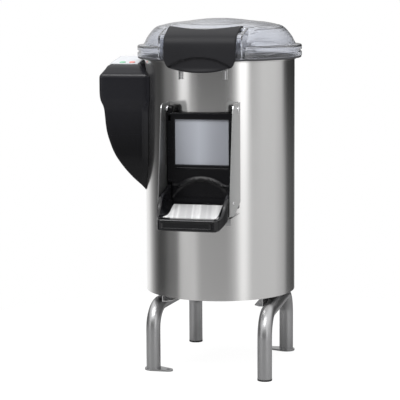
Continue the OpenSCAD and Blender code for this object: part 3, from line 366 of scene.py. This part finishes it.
# --- Clear lid -------------------------------------------------------------------
# A blow-moulded clear dome with a thick rim and a pocket for the handle. It is faintly
# wavy, lies on the gasket, and its hinge leaf is screwed on behind.

clear = Material("clear lid", (0.76, 0.775, 0.82), IOR=1.45, Transmission_Weight=1.0)
waves = clear.noise(clear.point(), 14.0)
clear.link("Roughness", waves * 0.08 + 0.06)
clear.bump(waves, 0.05, 0.004)


def smooth_step(value, low, high):
    """0 below low, 1 above high, and an even S-curve between them."""
    part = np.clip((value - low) / (high - low), 0.0, 1.0)
    return part * part * (3.0 - 2.0 * part)


def add_piece(name, mesh, sharp, material, body, replaced):
    """A new piece that rides on a body: smooth, with sharp edges from an angle in degrees."""
    mesh.polygons.foreach_set("use_smooth", [True] * len(mesh.polygons))
    mesh.set_sharp_from_angle(angle=math.radians(sharp))
    made = bpy.data.objects.new(name, mesh)
    scene.collection.objects.link(made)
    material.put_on(made)
    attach(made, body)
    if replaced:
        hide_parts(*replaced)


def blown_lid():
    """The lid's solid with a fuller shoulder, as blow moulding leaves it.

    By its distance from the lid's axis, each point of the crown rises by up to 5 mm and each
    point of the wall is drawn in by up to 3.3 mm, both along S-curves. The handle's pocket,
    the seat of the hinge leaf and the rim stay as they are."""
    mesh = cad["lid_dome"].data.copy()
    points = np.empty(len(mesh.vertices) * 3)
    mesh.vertices.foreach_get("co", points)
    x, y, z = points.reshape(-1, 3).T
    r = np.hypot(x, y)
    off_pocket = np.maximum(smooth_step(np.abs(x), 0.100, 0.116), smooth_step(y, -0.128, -0.075))
    off_leaf = np.maximum(smooth_step(np.abs(x), 0.060, 0.080), smooth_step(-y, -0.160, -0.140))
    above_rim = smooth_step(z, 0.7750, 0.7790)
    free = above_rim * np.where(y < 0, off_pocket, 1.0) * np.where(y > 0, off_leaf, 1.0)
    most_rise, most_draw = 0.0050, 0.0033
    crown = smooth_step(r, 0.070, 0.135) * (1.0 - smooth_step(r, 0.148, 0.184))
    rise = most_rise * crown * free
    draw_in = most_draw * smooth_step(r, 0.150, 0.176) * free
    scale = 1.0 - draw_in / np.maximum(r, 0.01)
    mesh.vertices.foreach_set("co", np.stack([x * scale, y * scale, z + rise], 1).ravel())
    return mesh


add_piece("lid_moulding", blown_lid(), 32, clear, "lid", ("lid_dome",))


# --- Control housing -------------------------------------------------------------
# A black blow-moulded cover on the drum's left side: a head with a sloped top for the
# membrane panel, a waist, and a belly that runs out on the drum. Screwed on from inside.

def grid_piece(name, points, body, material, replaced=(), wrap=False, caps=(), rim=False):
    """Quads through a grid of points (rows, columns, 3).

    wrap joins the last column to the first, each row in caps gets a face across it, and rim
    gets one face round the whole grid. Points that meet are welded, and all the faces are
    turned over if the closed form's signed volume is negative, so that they look outward."""
    rows, columns = points.shape[:2]
    corner = np.arange(rows * columns).reshape(rows, columns)
    around = np.hstack([corner, corner[:, :1]]) if wrap else corner
    quads = np.stack([around[:-1, :-1], around[:-1, 1:], around[1:, 1:], around[1:, :-1]], -1)
    faces = quads.reshape(-1, 4).tolist()
    faces += [corner[row][::-1 if row == 0 else 1].tolist() for row in caps]
    if rim:
        border = [corner[:, 0], corner[-1, 1:], corner[-2::-1, -1], corner[0, -2:0:-1]]
        faces.append(np.concatenate(border).tolist())
    spots, weld = np.unique(np.round(points.reshape(-1, 3), 7), axis=0, return_inverse=True)
    weld = weld.reshape(-1)
    faces = [list(dict.fromkeys(weld[face].tolist())) for face in faces]
    faces = [face for face in faces if len(face) > 2]
    volume = sum(np.dot(spots[f[0]], np.cross(spots[f[k]], spots[f[k + 1]]))
                 for f in faces for k in range(1, len(f) - 1))
    if volume < 0:
        faces = [face[::-1] for face in faces]
    mesh = bpy.data.meshes.new(name)
    mesh.from_pydata(spots.tolist(), [], faces)
    mesh.update()
    add_piece(name, mesh, 36, material, body, replaced)


def soft_min(a, b, width):
    """The smaller of two heights, rounded where they cross."""
    part = np.clip(0.5 + 0.5 * (b - a) / width, 0.0, 1.0)
    return b * (1 - part) + a * part - width * part * (1 - part)


def housing_top(x, y):
    """Height of the cover's top: front slope, panel incline, rear slope and left bevel."""
    along = np.interp(y, [-0.095, -0.092, -0.060, 0.039, 0.067, 0.075],
                      [0.7015, 0.7055, 0.7275, 0.7409, 0.731, 0.713])
    left = np.interp(x, [-0.276, -0.2745, -0.270, -0.260, -0.20],
                     [0.6970, 0.7035, 0.7070, 0.7290, 0.9])
    top = soft_min(along, left, 0.004)
    below_rim = 0.7372
    near_drum = np.hypot(x, y) < 0.2005
    return np.where(near_drum, np.minimum(top, below_rim), top)


def housing_left(z):
    """Left outline of the cover in the front view: x at height z."""
    heights = [0.4265, 0.430, 0.4365, 0.442, 0.4513, 0.4585, 0.465, 0.4725, 0.480, 0.487, 0.4945,
               0.500, 0.511, 0.524, 0.538, 0.5535, 0.569, 0.586, 0.603, 0.617, 0.629, 0.634, 0.641,
               0.650, 0.662]
    outline = [-0.1690, -0.1735, -0.1790, -0.1840, -0.1940, -0.2003, -0.2055, -0.2118, -0.2173,
               -0.2225, -0.2273, -0.2313, -0.2380, -0.2446, -0.2500, -0.2553, -0.2593, -0.2617,
               -0.2632, -0.2645, -0.2670, -0.2698, -0.2733, -0.2752, -0.2760]
    return np.interp(z, heights, outline)


def housing_plan(kind, part, z, drum):
    """Plan of the cover at height z: where a share of the front, a corner (in degrees), the
    left side or the rear lies.

    The front folds outward where it meets the drum, with a shallow hollow beside the fold,
    and its chin draws in below by the power 1.5 of the way down. The head above the waist
    is 3.8 mm deeper than the belly at the front and at the rear."""
    left = housing_left(z)
    head = smooth_step(z, 0.618, 0.645)
    chin = float(np.clip((0.505 - z) / 0.077, 0, 1)) ** 1.5
    belly_front, belly_rear, chin_depth = 0.0912, 0.0712, 0.026
    deeper = 0.0038 * head
    front = belly_front + deeper - chin_depth * chin
    rear = belly_rear + deeper
    fold_height = 0.004 + 0.007 * head
    fold_width = 0.016 - 0.004 * head
    contact = -math.sqrt(drum**2 - (front + fold_height) ** 2)
    far = -math.sqrt(drum**2 - rear**2)
    r = min(0.0055 + 0.0035 * head, max(0.0004, 0.5 * (contact - left)))
    if kind == "front":
        way = part * (contact - left - r) / fold_width
        hollow = 0.16 * math.exp(-((way - 1.0) / 0.20) ** 2)
        rise = max(0.0, 1.0 - way) - hollow
        return contact + (left + r - contact) * part, -front - fold_height * rise
    if kind == "front corner":
        a = math.radians(part)
        return left + r - r * math.sin(a), -front + r - r * math.cos(a)
    if kind == "left":
        return left, -front + r + (front + rear - 2 * r) * part
    if kind == "rear corner":
        a = math.radians(part)
        return left + r - r * math.cos(a), rear - r + r * math.sin(a)
    return left + r + (far - left - r) * part, rear


def housing_points():
    """The plan at each height, held outside the drum, from the drum's wall or the lowest
    point up to the top less its rounding, and then in over the top.

    Rows go up the walls and in over the top to its middle; columns go along the front face
    from the drum, round the left side, back along the rear face to the drum, and home along
    the drum. The lowest row of the way home meets that of the way out."""
    drum = 0.1806
    lowest, belly_top, head_height = 0.4265, 0.52, 0.70
    middle = np.array([-0.222, -0.010])
    edge_r = 0.006
    heights = np.linspace(0, 1, 44) ** 0.85
    kinds = [("front", f) for f in np.linspace(0, 1, 26) ** 1.8]
    kinds += [("front corner", a) for a in np.linspace(0, 90, 10)[1:]]
    kinds += [("left", f) for f in np.linspace(0, 1, 14)[1:]]
    kinds += [("rear corner", a) for a in np.linspace(0, 90, 10)[1:]]
    kinds += [("rear", f) for f in (1 - (1 - np.linspace(0, 1, 14)[1:]) ** 1.2)]

    def over_top(edge, rounding):
        """From an edge point in to the middle of the top, first round the edge."""
        way = middle - edge
        length = float(np.hypot(*way))
        runs = [(edge_r * (1 - math.cos(a)), rounding * (1 - math.sin(a)))
                for a in np.radians(np.linspace(15, 90, 6))]
        runs += [(edge_r + (length - edge_r) * part, 0.0)
                 for part in (0.08, 0.2, 0.36, 0.54, 0.76, 1.0)]
        line = []
        for run, drop in runs:
            spot = edge + way * (run / length)
            spot = spot * max(1.0, drum / float(np.hypot(*spot)))
            line.append((spot[0], spot[1], float(housing_top(*spot)) - drop))
        return line

    columns = []
    for kind, part in kinds:
        low = lowest
        for z in np.linspace(lowest, belly_top, 240):
            if math.hypot(*housing_plan(kind, part, z, drum)) >= drum - 1e-6:
                break
            low = z
        high = float(housing_top(*housing_plan(kind, part, head_height, drum))) - edge_r
        line = []
        for share in heights:
            z = low + (high - low) * share
            x, y = housing_plan(kind, part, z, drum)
            out = max(1.0, drum / math.hypot(x, y))
            line.append((x * out, y * out, z))
        columns.append(line + over_top(np.array(line[-1][:2]), edge_r))

    way_out = len(columns)
    wall_rows = len(heights)
    first, last = ([math.atan2(-y, -x) for x, y, z in columns[k][:wall_rows]] for k in (0, -1))
    ends = [np.array(columns[k][wall_rows - 1][:2]) for k in (0, -1)]
    for k in range(way_out - 2, 0, -1):
        foot = columns[k][0]
        share = (math.atan2(-foot[1], -foot[0]) - first[0]) / (last[0] - first[0])
        turns = [a + (b - a) * share for a, b in zip(first, last)]
        edge = np.array([-drum * math.cos(turns[-1]), -drum * math.sin(turns[-1])])
        corner = min(np.hypot(*(edge - end)) for end in ends)
        rounding = edge_r * (1 - float(smooth_step(corner, 0.0, 0.010)))
        high = float(housing_top(*edge)) - rounding
        line = [foot]
        for a, part in list(zip(turns, heights))[1:]:
            z = foot[2] + (high - foot[2]) * part
            line.append((-drum * math.cos(a), -drum * math.sin(a), z))
        columns.append(line + over_top(edge, rounding))
    return np.array(columns).transpose(1, 0, 2)


housing_black = (0.0066, 0.0066, 0.0080)
housing_skin = soft_touch("housing plastic", housing_black, 0.24, 800.0, 0.00012,
                          clouds=0.25, specular=0.20)
# Painted shade: the housing's black is painted darker on the belly and lighter on the head, rising
# with height from belly_z over head_above.
belly_z, head_above = 0.53, 0.12
painted_shade_by_height = ((housing_skin.place()[2] - belly_z) / head_above).clamp()
cloud = housing_skin.noise(housing_skin.point(), 9.0, 3.0, 0.55)
housing_skin.color_by(painted_shade_by_height * 1.1 + 0.42 + cloud * 0.15, housing_black)
grid_piece("housing_cover", housing_points(), "frame", housing_skin,
           ("control_housing",), wrap=True)


# --- Lid handle ------------------------------------------------------------------
# One thick black moulding, screwed to the front of the lid. Its lower edge is round for
# the fingers, a shallow scoop shows where to lift, and its upper part leans on the dome.

def handle_points():
    """A side profile, smoothed from its corners and carried across the width. Rounded edges,
    the scoop under its arch and a slight crown are depths taken off along the normal.

    The sheet is closed: columns run across the width, rows run up the outside, over the top
    edge, down the inside and back under the lower edge."""
    across = np.sin(np.linspace(-1, 1, 61) * math.pi / 2)
    share = np.abs(across)
    corners = np.array([(-0.2098, 0.7140), (-0.2104, 0.745), (-0.2100, 0.772), (-0.2085, 0.7855),
                        (-0.2045, 0.7945), (-0.1985, 0.8015), (-0.190, 0.8066), (-0.176, 0.8132),
                        (-0.156, 0.8206), (-0.1345, 0.8250)])
    steps = np.linspace(0, len(corners) - 1, 181)
    path = np.stack([np.interp(steps, np.arange(len(corners)), corners[:, k]) for k in (0, 1)], 1)
    reach = 7
    soft = np.ones(2 * reach + 1) / (2 * reach + 1)
    padded = np.pad(path, ((reach, reach), (0, 0)), "edge")
    path = np.stack([np.convolve(padded[:, k], soft, "valid") for k in (0, 1)], 1)
    run = np.concatenate([[0], np.cumsum(np.hypot(*np.diff(path, axis=0).T))])
    total = run[-1]
    slopes = np.unwrap(np.arctan2(np.gradient(path[:, 1]), np.gradient(path[:, 0])))

    low = 0.0155 * share**2.2 + 0.016 * np.clip((share - 0.86) / 0.14, 0, 1) ** 2.2
    high = 0.031 * (1 - share**2)
    start, end = low / total, 1 - high / total
    arch_top, arch_r = 0.7525, 0.130
    edge_r, bevel, thickness = 0.0045, 0.0042, 0.0062
    scoop_depth, crown_depth = 0.0052, 0.0012
    rows = np.concatenate([[0.0, 0.004, 0.012, 0.022], np.linspace(0.035, 0.965, 44),
                           [0.978, 0.988, 0.996, 1.0]])
    outer, inner = [], []
    for v in rows:
        half = 0.0846 + 0.0012 * smooth_step(v, 0.05, 0.4) + 0.0022 * smooth_step(v, 0.55, 1.0)
        x = across * half
        part = start + (end - start) * v
        y = np.interp(part * total, run, path[:, 0])
        z = np.interp(part * total, run, path[:, 1])
        slope = np.interp(part * total, run, slopes)
        normal_y, normal_z = -np.sin(slope), np.cos(slope)
        edge = np.minimum((part - start) * total, (end - part) * total)
        edge = np.minimum(edge, (1 - share) * half)
        round_off = bevel * (1 - np.sqrt(1 - (1 - np.clip(edge / edge_r, 0, 1)) ** 2))
        arch = arch_top - (arch_r - np.sqrt(np.maximum(arch_r**2 - x**2, 0)))
        under_arch = smooth_step(arch - z, -0.0004, 0.0020) * smooth_step(z, 0.7125, 0.7290)
        depth = round_off + scoop_depth * under_arch + crown_depth * share**2
        outer.append(np.stack([x, y - normal_y * depth, z - normal_z * depth], 1))
        thick = thickness - round_off * 0.6
        inner.append(np.stack([x * 0.994, y - normal_y * thick, z - normal_z * thick], 1))
    return np.array(outer + inner[::-1])


grip = soft_touch("handle plastic", (0.0115, 0.0115, 0.0130), 0.50, 800.0, 0.00012,
                  clouds=0.25, specular=0.16)
handle_grid = handle_points().transpose(1, 0, 2)
grid_piece("handle_moulding", handle_grid, "lid", grip, ("lid_handle",),
           wrap=True, caps=(0, len(handle_grid) - 1))


# --- Spout -----------------------------------------------------------------------
# A black scoop below the gate: two arms that run forward from between the steel cheeks
# and a cross lip with a channel in its face. Its arms are screwed to the cheeks.

def spout_points():
    """A rounded section carried along the plan: left arm, corner, lip, corner, right arm.

    The arms bulge outward by half a sine wave, the section's top and foot follow their own
    curves of the distance forward, and the lip's face is sunk for the channel. Rows follow
    the plan, and columns go round the section."""
    arm, lip, reach, back = 0.080, 0.0705, 0.336, 0.1975
    corner_r, bulge, straight = 0.011, 0.0058, 0.040
    plan = [(-arm, -back), (-arm, -back - straight / 2), (-arm, -back - straight)]
    plan += [(-arm + (arm - lip) * t - bulge * math.sin(math.pi * t),
              -back - straight - (reach - corner_r - back - straight) * t)
             for t in np.linspace(0.06, 1, 17)]
    plan += [(-lip + corner_r - corner_r * math.cos(a), -reach + corner_r - corner_r * math.sin(a))
             for a in np.linspace(0.12, math.pi / 2, 9)]
    half = plan + [(x, -reach) for x in np.linspace(-lip + corner_r, 0, 14)[1:]]
    line = np.array(half + [(-x, y) for x, y in half[-2::-1]])
    tangent = np.gradient(line, axis=0)
    tangent /= np.hypot(*tangent.T)[:, None]
    inward = np.stack([-tangent[:, 1], tangent[:, 0]], 1)
    top = np.interp(-line[:, 1], [back, 0.2580, 0.271, 0.283, 0.296, 0.309, 0.321, 0.3275, 0.336],
                    [0.4590, 0.4430, 0.4370, 0.4270, 0.4110, 0.4010, 0.3980, 0.3972, 0.3970])
    low = np.interp(-line[:, 1], [back, 0.2590, 0.320, 0.336], [0.392, 0.392, 0.370, 0.370])
    r, wall, channel_depth, channel_half = 0.0046, 0.0105, 0.0042, 0.058
    channel = smooth_step(channel_half - np.abs(line[:, 0]), 0.0, 0.004)
    channel *= line[:, 1] < -reach + 0.001
    steps = np.radians(np.linspace(0, 90, 8))
    rows = []
    for k, (t, b) in enumerate(zip(top, low)):
        ring = [(r - r * math.sin(a), t - r + r * math.cos(a)) for a in steps]
        for z in np.linspace(t - r, b + r, 16)[1:-1]:
            above = smooth_step(z, b + 0.0055, b + 0.0075)
            below = 1 - smooth_step(z, t - 0.0085, t - 0.0065)
            ring.append((channel_depth * (channel[k] * above * below), z))
        ring += [(r - r * math.cos(a), b + r - r * math.sin(a)) for a in steps]
        ring += [(wall - r + r * math.sin(a), b + r - r * math.cos(a)) for a in steps]
        ring += [(wall, z) for z in np.linspace(b + r, t - r, 8)[1:-1]]
        ring += [(wall - r + r * math.cos(a), t - r + r * math.sin(a)) for a in steps[:-1]]
        rows.append([(*(line[k] + inward[k] * n), z) for n, z in ring])
    return np.array(rows)


def chute_points(side):
    """The sloping inner side of an arm: a wedge whose foot runs in over the tray. From the
    arm to the foot its height falls by the power 2.2, and forward it fades out."""
    tray_z, tray_slope, tray_back = 0.4102, 0.0963, 0.1969
    rows = []
    for way in np.linspace(0.1975, 0.3270, 34):
        floor_z = tray_z - (way - tray_back) * tray_slope
        arm = np.interp(way, [0.1975, 0.2375, 0.327], [0.0745, 0.0745, 0.0655])
        foot = np.interp(way, [0.1975, 0.240, 0.300, 0.327], [0.0625, 0.0560, 0.0450, 0.0410])
        if side > 0:
            foot = arm - 0.004
        height = np.interp(way, [0.1975, 0.258, 0.290, 0.310, 0.327],
                           [0.044, 0.030, 0.016, 0.004, 0.0012])
        ring = [(arm, floor_z - 0.001)]
        ring += [(arm - (arm - foot) * t, floor_z + 0.0008 + height * (1 - t) ** 2.2)
                 for t in np.linspace(0, 1, 12)]
        ring += [(foot, floor_z - 0.001)]
        rows.append([(side * x, -way, z) for x, z in ring])
    return np.array(rows)


# The chutes take the black with painted shade, darker for the shade inside the spout.
for side, word in ((-1, "left"), (1, "right")):
    chute_grid = chute_points(side)
    grid_piece("spout_chute_" + word, chute_grid, "frame", shaded_black,
               wrap=True, caps=(0, len(chute_grid) - 1))
spout_grid = spout_points()
grid_piece("spout_moulding", spout_grid, "frame", glossy_black, ("spout",),
           wrap=True, caps=(0, len(spout_grid) - 1))


# --- Gate ------------------------------------------------------------------------
# A flat black moulding that hangs on two pins and carries a satin steel window. Below the
# window are a drip edge and an arched ridge over a finger hollow, to lift the gate by.

def gate_points():
    """Height field of the gate's front over x and z, with its border turned back to the
    rear face. Rows go up, columns go from left to right.

    From the flat front, y goes in for the rounded border, the window's recess and the finger
    hollow, and out for bell-shaped ridges: the drip edge, the arc and two short ribs."""
    low, high, front, rear = 0.4122, 0.6238, -0.1954, -0.1855
    window_left, window_right, window_low, window_high = -0.0625, 0.0645, 0.5040, 0.6090
    shoulder, drip_edge, rib, middle = 0.4640, 0.4957, 0.4560, 0.001
    arc_z, arc_r, arc_height, hollow_depth = 0.3875, 0.0850, 0.0044, 0.0026
    border_r, recess, drip_height, rib_height = 0.003, 0.0072, 0.0022, 0.0034
    levels = [np.linspace(low, high, 90), np.linspace(0.4925, 0.4985, 13),
              [shoulder - 0.0008, shoulder, shoulder + 0.0008],
              [window_low - 0.0002, window_low + 0.0006],
              [window_high - 0.0006, window_high + 0.0002]]
    zs = np.unique(np.round(np.concatenate(levels), 5))
    xs = np.unique(np.round(np.concatenate([np.linspace(-1, 1, 74), [-0.998, 0.998]]), 5))
    rows = []
    for z in zs:
        wide = 0.0700 + 0.0115 * smooth_step(z, shoulder - 0.0008, shoulder + 0.0008)
        x = xs * wide
        y = np.full_like(x, front)
        edge = np.minimum((1 - np.abs(xs)) * wide, min(z - low, high - z))
        y += border_r * (1 - np.sqrt(1 - (1 - np.clip(edge / border_r, 0, 1)) ** 2))
        inside = np.minimum(np.minimum(x - window_left, window_right - x),
                            min(z - window_low, window_high - z))
        y += recess * smooth_step(inside, -0.0009, 0.0007)
        drip = drip_height * math.exp(-((z - drip_edge) / 0.0013) ** 2)
        y -= drip * smooth_step(0.064 - np.abs(x - middle), 0.0, 0.003)
        radius = np.hypot(x - middle, z - arc_z)
        ridge = np.exp(-((radius - arc_r) / 0.0036) ** 2) * smooth_step(z, 0.451, 0.460)
        hollow = smooth_step(0.0800 - radius, 0.0, 0.0018) * smooth_step(z, 0.4145, 0.430)
        y += hollow_depth * hollow - arc_height * ridge
        ribs = rib_height * math.exp(-((z - rib) / 0.0015) ** 2)
        y -= ribs * smooth_step(np.abs(x), 0.042, 0.047)
        rows.append(np.stack([x, y, np.full_like(x, z)], 1))
    grid = np.pad(np.array(rows), ((1, 1), (1, 1), (0, 0)), "edge")
    grid[[0, -1], :, 1] = rear
    grid[:, [0, -1], 1] = rear
    return grid


def pin_points(side, y, z):
    """A pin turned about x: its head against the ear, a neck, and a domed outer button."""
    outline = [(0.0782, 0.0), (0.0784, 0.0030), (0.0794, 0.0052), (0.0810, 0.0064),
               (0.0828, 0.0067), (0.0834, 0.0067), (0.0834, 0.0042), (0.0851, 0.0042),
               (0.0853, 0.0078), (0.0866, 0.0076), (0.0884, 0.0060), (0.0896, 0.0036),
               (0.0900, 0.0)]
    a = np.arange(48) * (2 * math.pi / 48)
    rows = []
    for along, radius in outline:
        x = np.full(len(a), side * along)
        rows.append(np.stack([x, y + radius * np.cos(a), z + radius * np.sin(a)], 1))
    return np.array(rows)


def ear_points(side, y, z):
    """An ear of the gate: a rounded tab round the pin's axis, thick along x, soft-edged."""
    tip_r = 0.0095
    outline = [(-0.1854, 0.6060), (-0.1954, 0.6060), (-0.1954, 0.6180)]
    outline += [(y - tip_r * math.cos(a), z + tip_r * math.sin(a))
                for a in np.linspace(-0.35, 3.3, 22)]
    outline += [(-0.1774, 0.6180), (-0.1854, 0.6120)]
    flat = np.array(outline)
    away = flat - np.array([-0.186, 0.622])
    away /= np.hypot(*away.T)[:, None]
    rows = []
    for along, inset in ((0.0695, 0.0020), (0.0700, 0.0006), (0.0715, 0.0), (0.0770, 0.0),
                         (0.0783, 0.0006), (0.0787, 0.0020)):
        ring = flat - away * inset
        rows.append(np.stack([np.full(len(ring), side * along), ring[:, 0], ring[:, 1]], 1))
    return np.array(rows)


grid_piece("gate_moulding", gate_points(), "gate", shaded_black, ("gate_frame",),
           rim=True)
hinge_y, hinge_z = -0.183, 0.632
for side, word in ((-1, "left"), (1, "right")):
    ear_grid = ear_points(side, hinge_y, hinge_z)
    grid_piece("gate_ear_" + word, ear_grid, "gate", shaded_black,
               wrap=True, caps=(0, len(ear_grid) - 1))
    grid_piece("gate_pin_" + word, pin_points(side, hinge_y, hinge_z), "gate", zinc,
               ("gate_pins",) if side < 0 else (), wrap=True)


# --- Stage: floor, room and lamps ------------------------------------------------
# A pale round floor in a plain white studio. Only mirrors see the walls of the room: a
# dark side behind the camera, two tall bright windows of light and a bright ceiling.

def flat_disc(name, radius, height, count=64):
    """A flat disc: a fan of triangles round one centre point."""
    turns = np.arange(count) * (2 * math.pi / count)
    rim = np.stack([np.cos(turns) * radius, np.sin(turns) * radius, np.full(count, height)], 1)
    points = np.vstack([rim, [[0, 0, height]]])
    mesh = bpy.data.meshes.new(name)
    mesh.from_pydata(points.tolist(), [], [(i, (i + 1) % count, count) for i in range(count)])
    made = bpy.data.objects.new(name, mesh)
    scene.collection.objects.link(made)
    return made


floor = flat_disc("floor", 0.85, -0.0004)
pale = Material("floor", (0.86, 0.86, 0.86), Roughness=0.9, Specular_IOR_Level=0.1)
pale.color_by(0.86 - pale.ray("Glossy") * 0.45, (1.0, 1.0, 1.0))
glow = pale.node("Emission", Strength=1.08)
blend = pale.node("MixShader", Fac=pale.ray("Camera", "Transmission") * 0.86)
pale.tree.links.new(pale.shader.outputs[0], blend.source.node.inputs[1])
pale.tree.links.new(glow.source, blend.source.node.inputs[2])
pale.tree.links.new(blend.source, pale.tree.nodes["Material Output"].inputs[0])
pale.put_on(floor)

world = bpy.data.worlds.new("studio")
scene.world = world
world.use_nodes = True
room = Nodes(world.node_tree)
x, y, z = room.split(room.node("TexCoord", output="Generated"))
camera_side = 15.3
turn = (x.math("ARCTAN2", -1.0 * y) * (0.5 / math.pi) + (0.5 - camera_side / 360.0)).math("FRACT")


def stop(angle, level):
    """A ramp stop: the angle is counted from the camera's side, positive to the right."""
    return (angle / 360.0 + 0.5, level)


# The light of the walls round the room, above and below eye level.
high = room.ramp(
    turn, stop(-180, 0.30), stop(-150, 0.20), stop(-135, 0.03), stop(-102, 0.035),
    stop(-92, 0.13), stop(-78, 0.15), stop(-69, 0.38), stop(-62, 0.74), stop(-53, 0.66),
    stop(-47, 0.14), stop(-36, 0.05), stop(4, 0.045), stop(16, 0.09), stop(23, 0.44),
    stop(29, 1.0), stop(38, 0.96), stop(45, 0.25), stop(56, 0.34), stop(66, 0.42),
    stop(92, 0.40), stop(107, 0.33), stop(114, 0.05), stop(122, 0.02), stop(165, 0.012),
    stop(180, 0.30))
low = room.ramp(
    turn, stop(-180, 0.60), stop(-146, 0.52), stop(-132, 0.24), stop(-120, 0.08),
    stop(-110, 0.03), stop(-98, 0.04), stop(-86, 0.09), stop(-73, 0.09), stop(-66, 0.32),
    stop(-50, 0.36), stop(-43, 0.40), stop(-33, 0.24), stop(6, 0.225), stop(16, 0.27),
    stop(24, 0.40), stop(30, 0.62), stop(37, 0.60), stop(46, 0.36), stop(90, 0.37),
    stop(114, 0.26), stop(124, 0.08), stop(150, 0.04), stop(166, 0.10), stop(180, 0.60))
below = ((-0.060 - z) * 16.0).clamp()
walls = high * (1.0 - below) + low * below
ceiling = ((z - 0.28) * 3.0).clamp()
ground = ((-0.22 - z) * 3.0).clamp()
ceiling_light, ground_light, mirror_gain, soft_light = 0.70, 0.30, 2.0, 0.60
walls = walls * (1.0 - ceiling) * (1.0 - ground)
mirrored = walls + ceiling * ceiling_light + ground * ground_light
glossy, seen = room.ray("Glossy"), room.ray("Camera", "Transmission")
strength = seen + (1.0 - seen) * (glossy * mirrored * mirror_gain + (1.0 - glossy) * soft_light)
background = world.node_tree.nodes["Background"]
background.inputs["Color"].default_value = (1, 1, 1, 1)
world.node_tree.links.new(strength.source, background.inputs["Strength"])


def area_lamp(name, where, target, size, power, mirrored=False):
    """A rectangular lamp aimed at a target; steel and lid mirror it only where asked."""
    lamp = bpy.data.lights.new(name, "AREA")
    lamp.shape = "RECTANGLE"
    lamp.size, lamp.size_y = size
    lamp.energy = power
    made = bpy.data.objects.new(name, lamp)
    made.location = where
    made.rotation_euler = (Vector(target) - Vector(where)).to_track_quat("-Z", "Y").to_euler()
    made.visible_glossy = mirrored
    scene.collection.objects.link(made)


area_lamp("key", (-1.6, -2.0, 2.2), (0, 0, 0.45), (1.2, 1.2), 38.0)
area_lamp("fill", (2.2, -1.6, 1.4), (0, 0, 0.45), (1.2, 1.6), 24.0)
area_lamp("top", (0.0, 0.3, 2.6), (0, 0, 0.5), (1.6, 1.6), 14.0)
area_lamp("overhead strip", (-0.3, -1.5, 2.5), (0, -0.2, 0.5), (1.8, 0.7), 42.0, mirrored=True)


# --- Camera ----------------------------------------------------------------------
# The photo's own camera, fitted to the circles of the drum and its lid. It stands 15
# degrees to the right of the front, looks down by 7 degrees and is rolled by half a degree.

roll, aside, raised = np.radians((-0.53, 15.31, 7.22)).tolist()
back = Vector((math.sin(aside) * math.cos(raised), -math.cos(aside) * math.cos(raised),
               math.sin(raised)))
level = Vector((math.cos(aside), math.sin(aside), 0.0))
upright = back.cross(level)
right = level * math.cos(roll) + upright * math.sin(roll)
above = upright * math.cos(roll) - level * math.sin(roll)
stand = Vector((0.877, -3.801, 0.945))
lens = bpy.data.cameras.new("camera")
lens.sensor_width = 36.0
lens.lens = 145.8
lens.shift_x = 0.1125
lens.shift_y = -0.055
camera = bpy.data.objects.new("camera", lens)
axes = [(*axis, 0.0) for axis in (right, above, back)]
camera.matrix_world = Matrix([*axes, (*stand, 1.0)]).transposed()
scene.collection.objects.link(camera)
scene.camera = camera
scene.view_settings.view_transform = "Standard"


# --- Shading of the CAD nodes ----------------------------------------------------
# Their facets are shaded smooth and split at edges sharper than 32 degrees. No point of
# the CAD's own meshes moves.

for solid in cad.values():
    for polygon in solid.data.polygons:
        polygon.use_smooth = True
    edges = solid.modifiers.new("edges", "EDGE_SPLIT")
    edges.split_angle = math.radians(32)
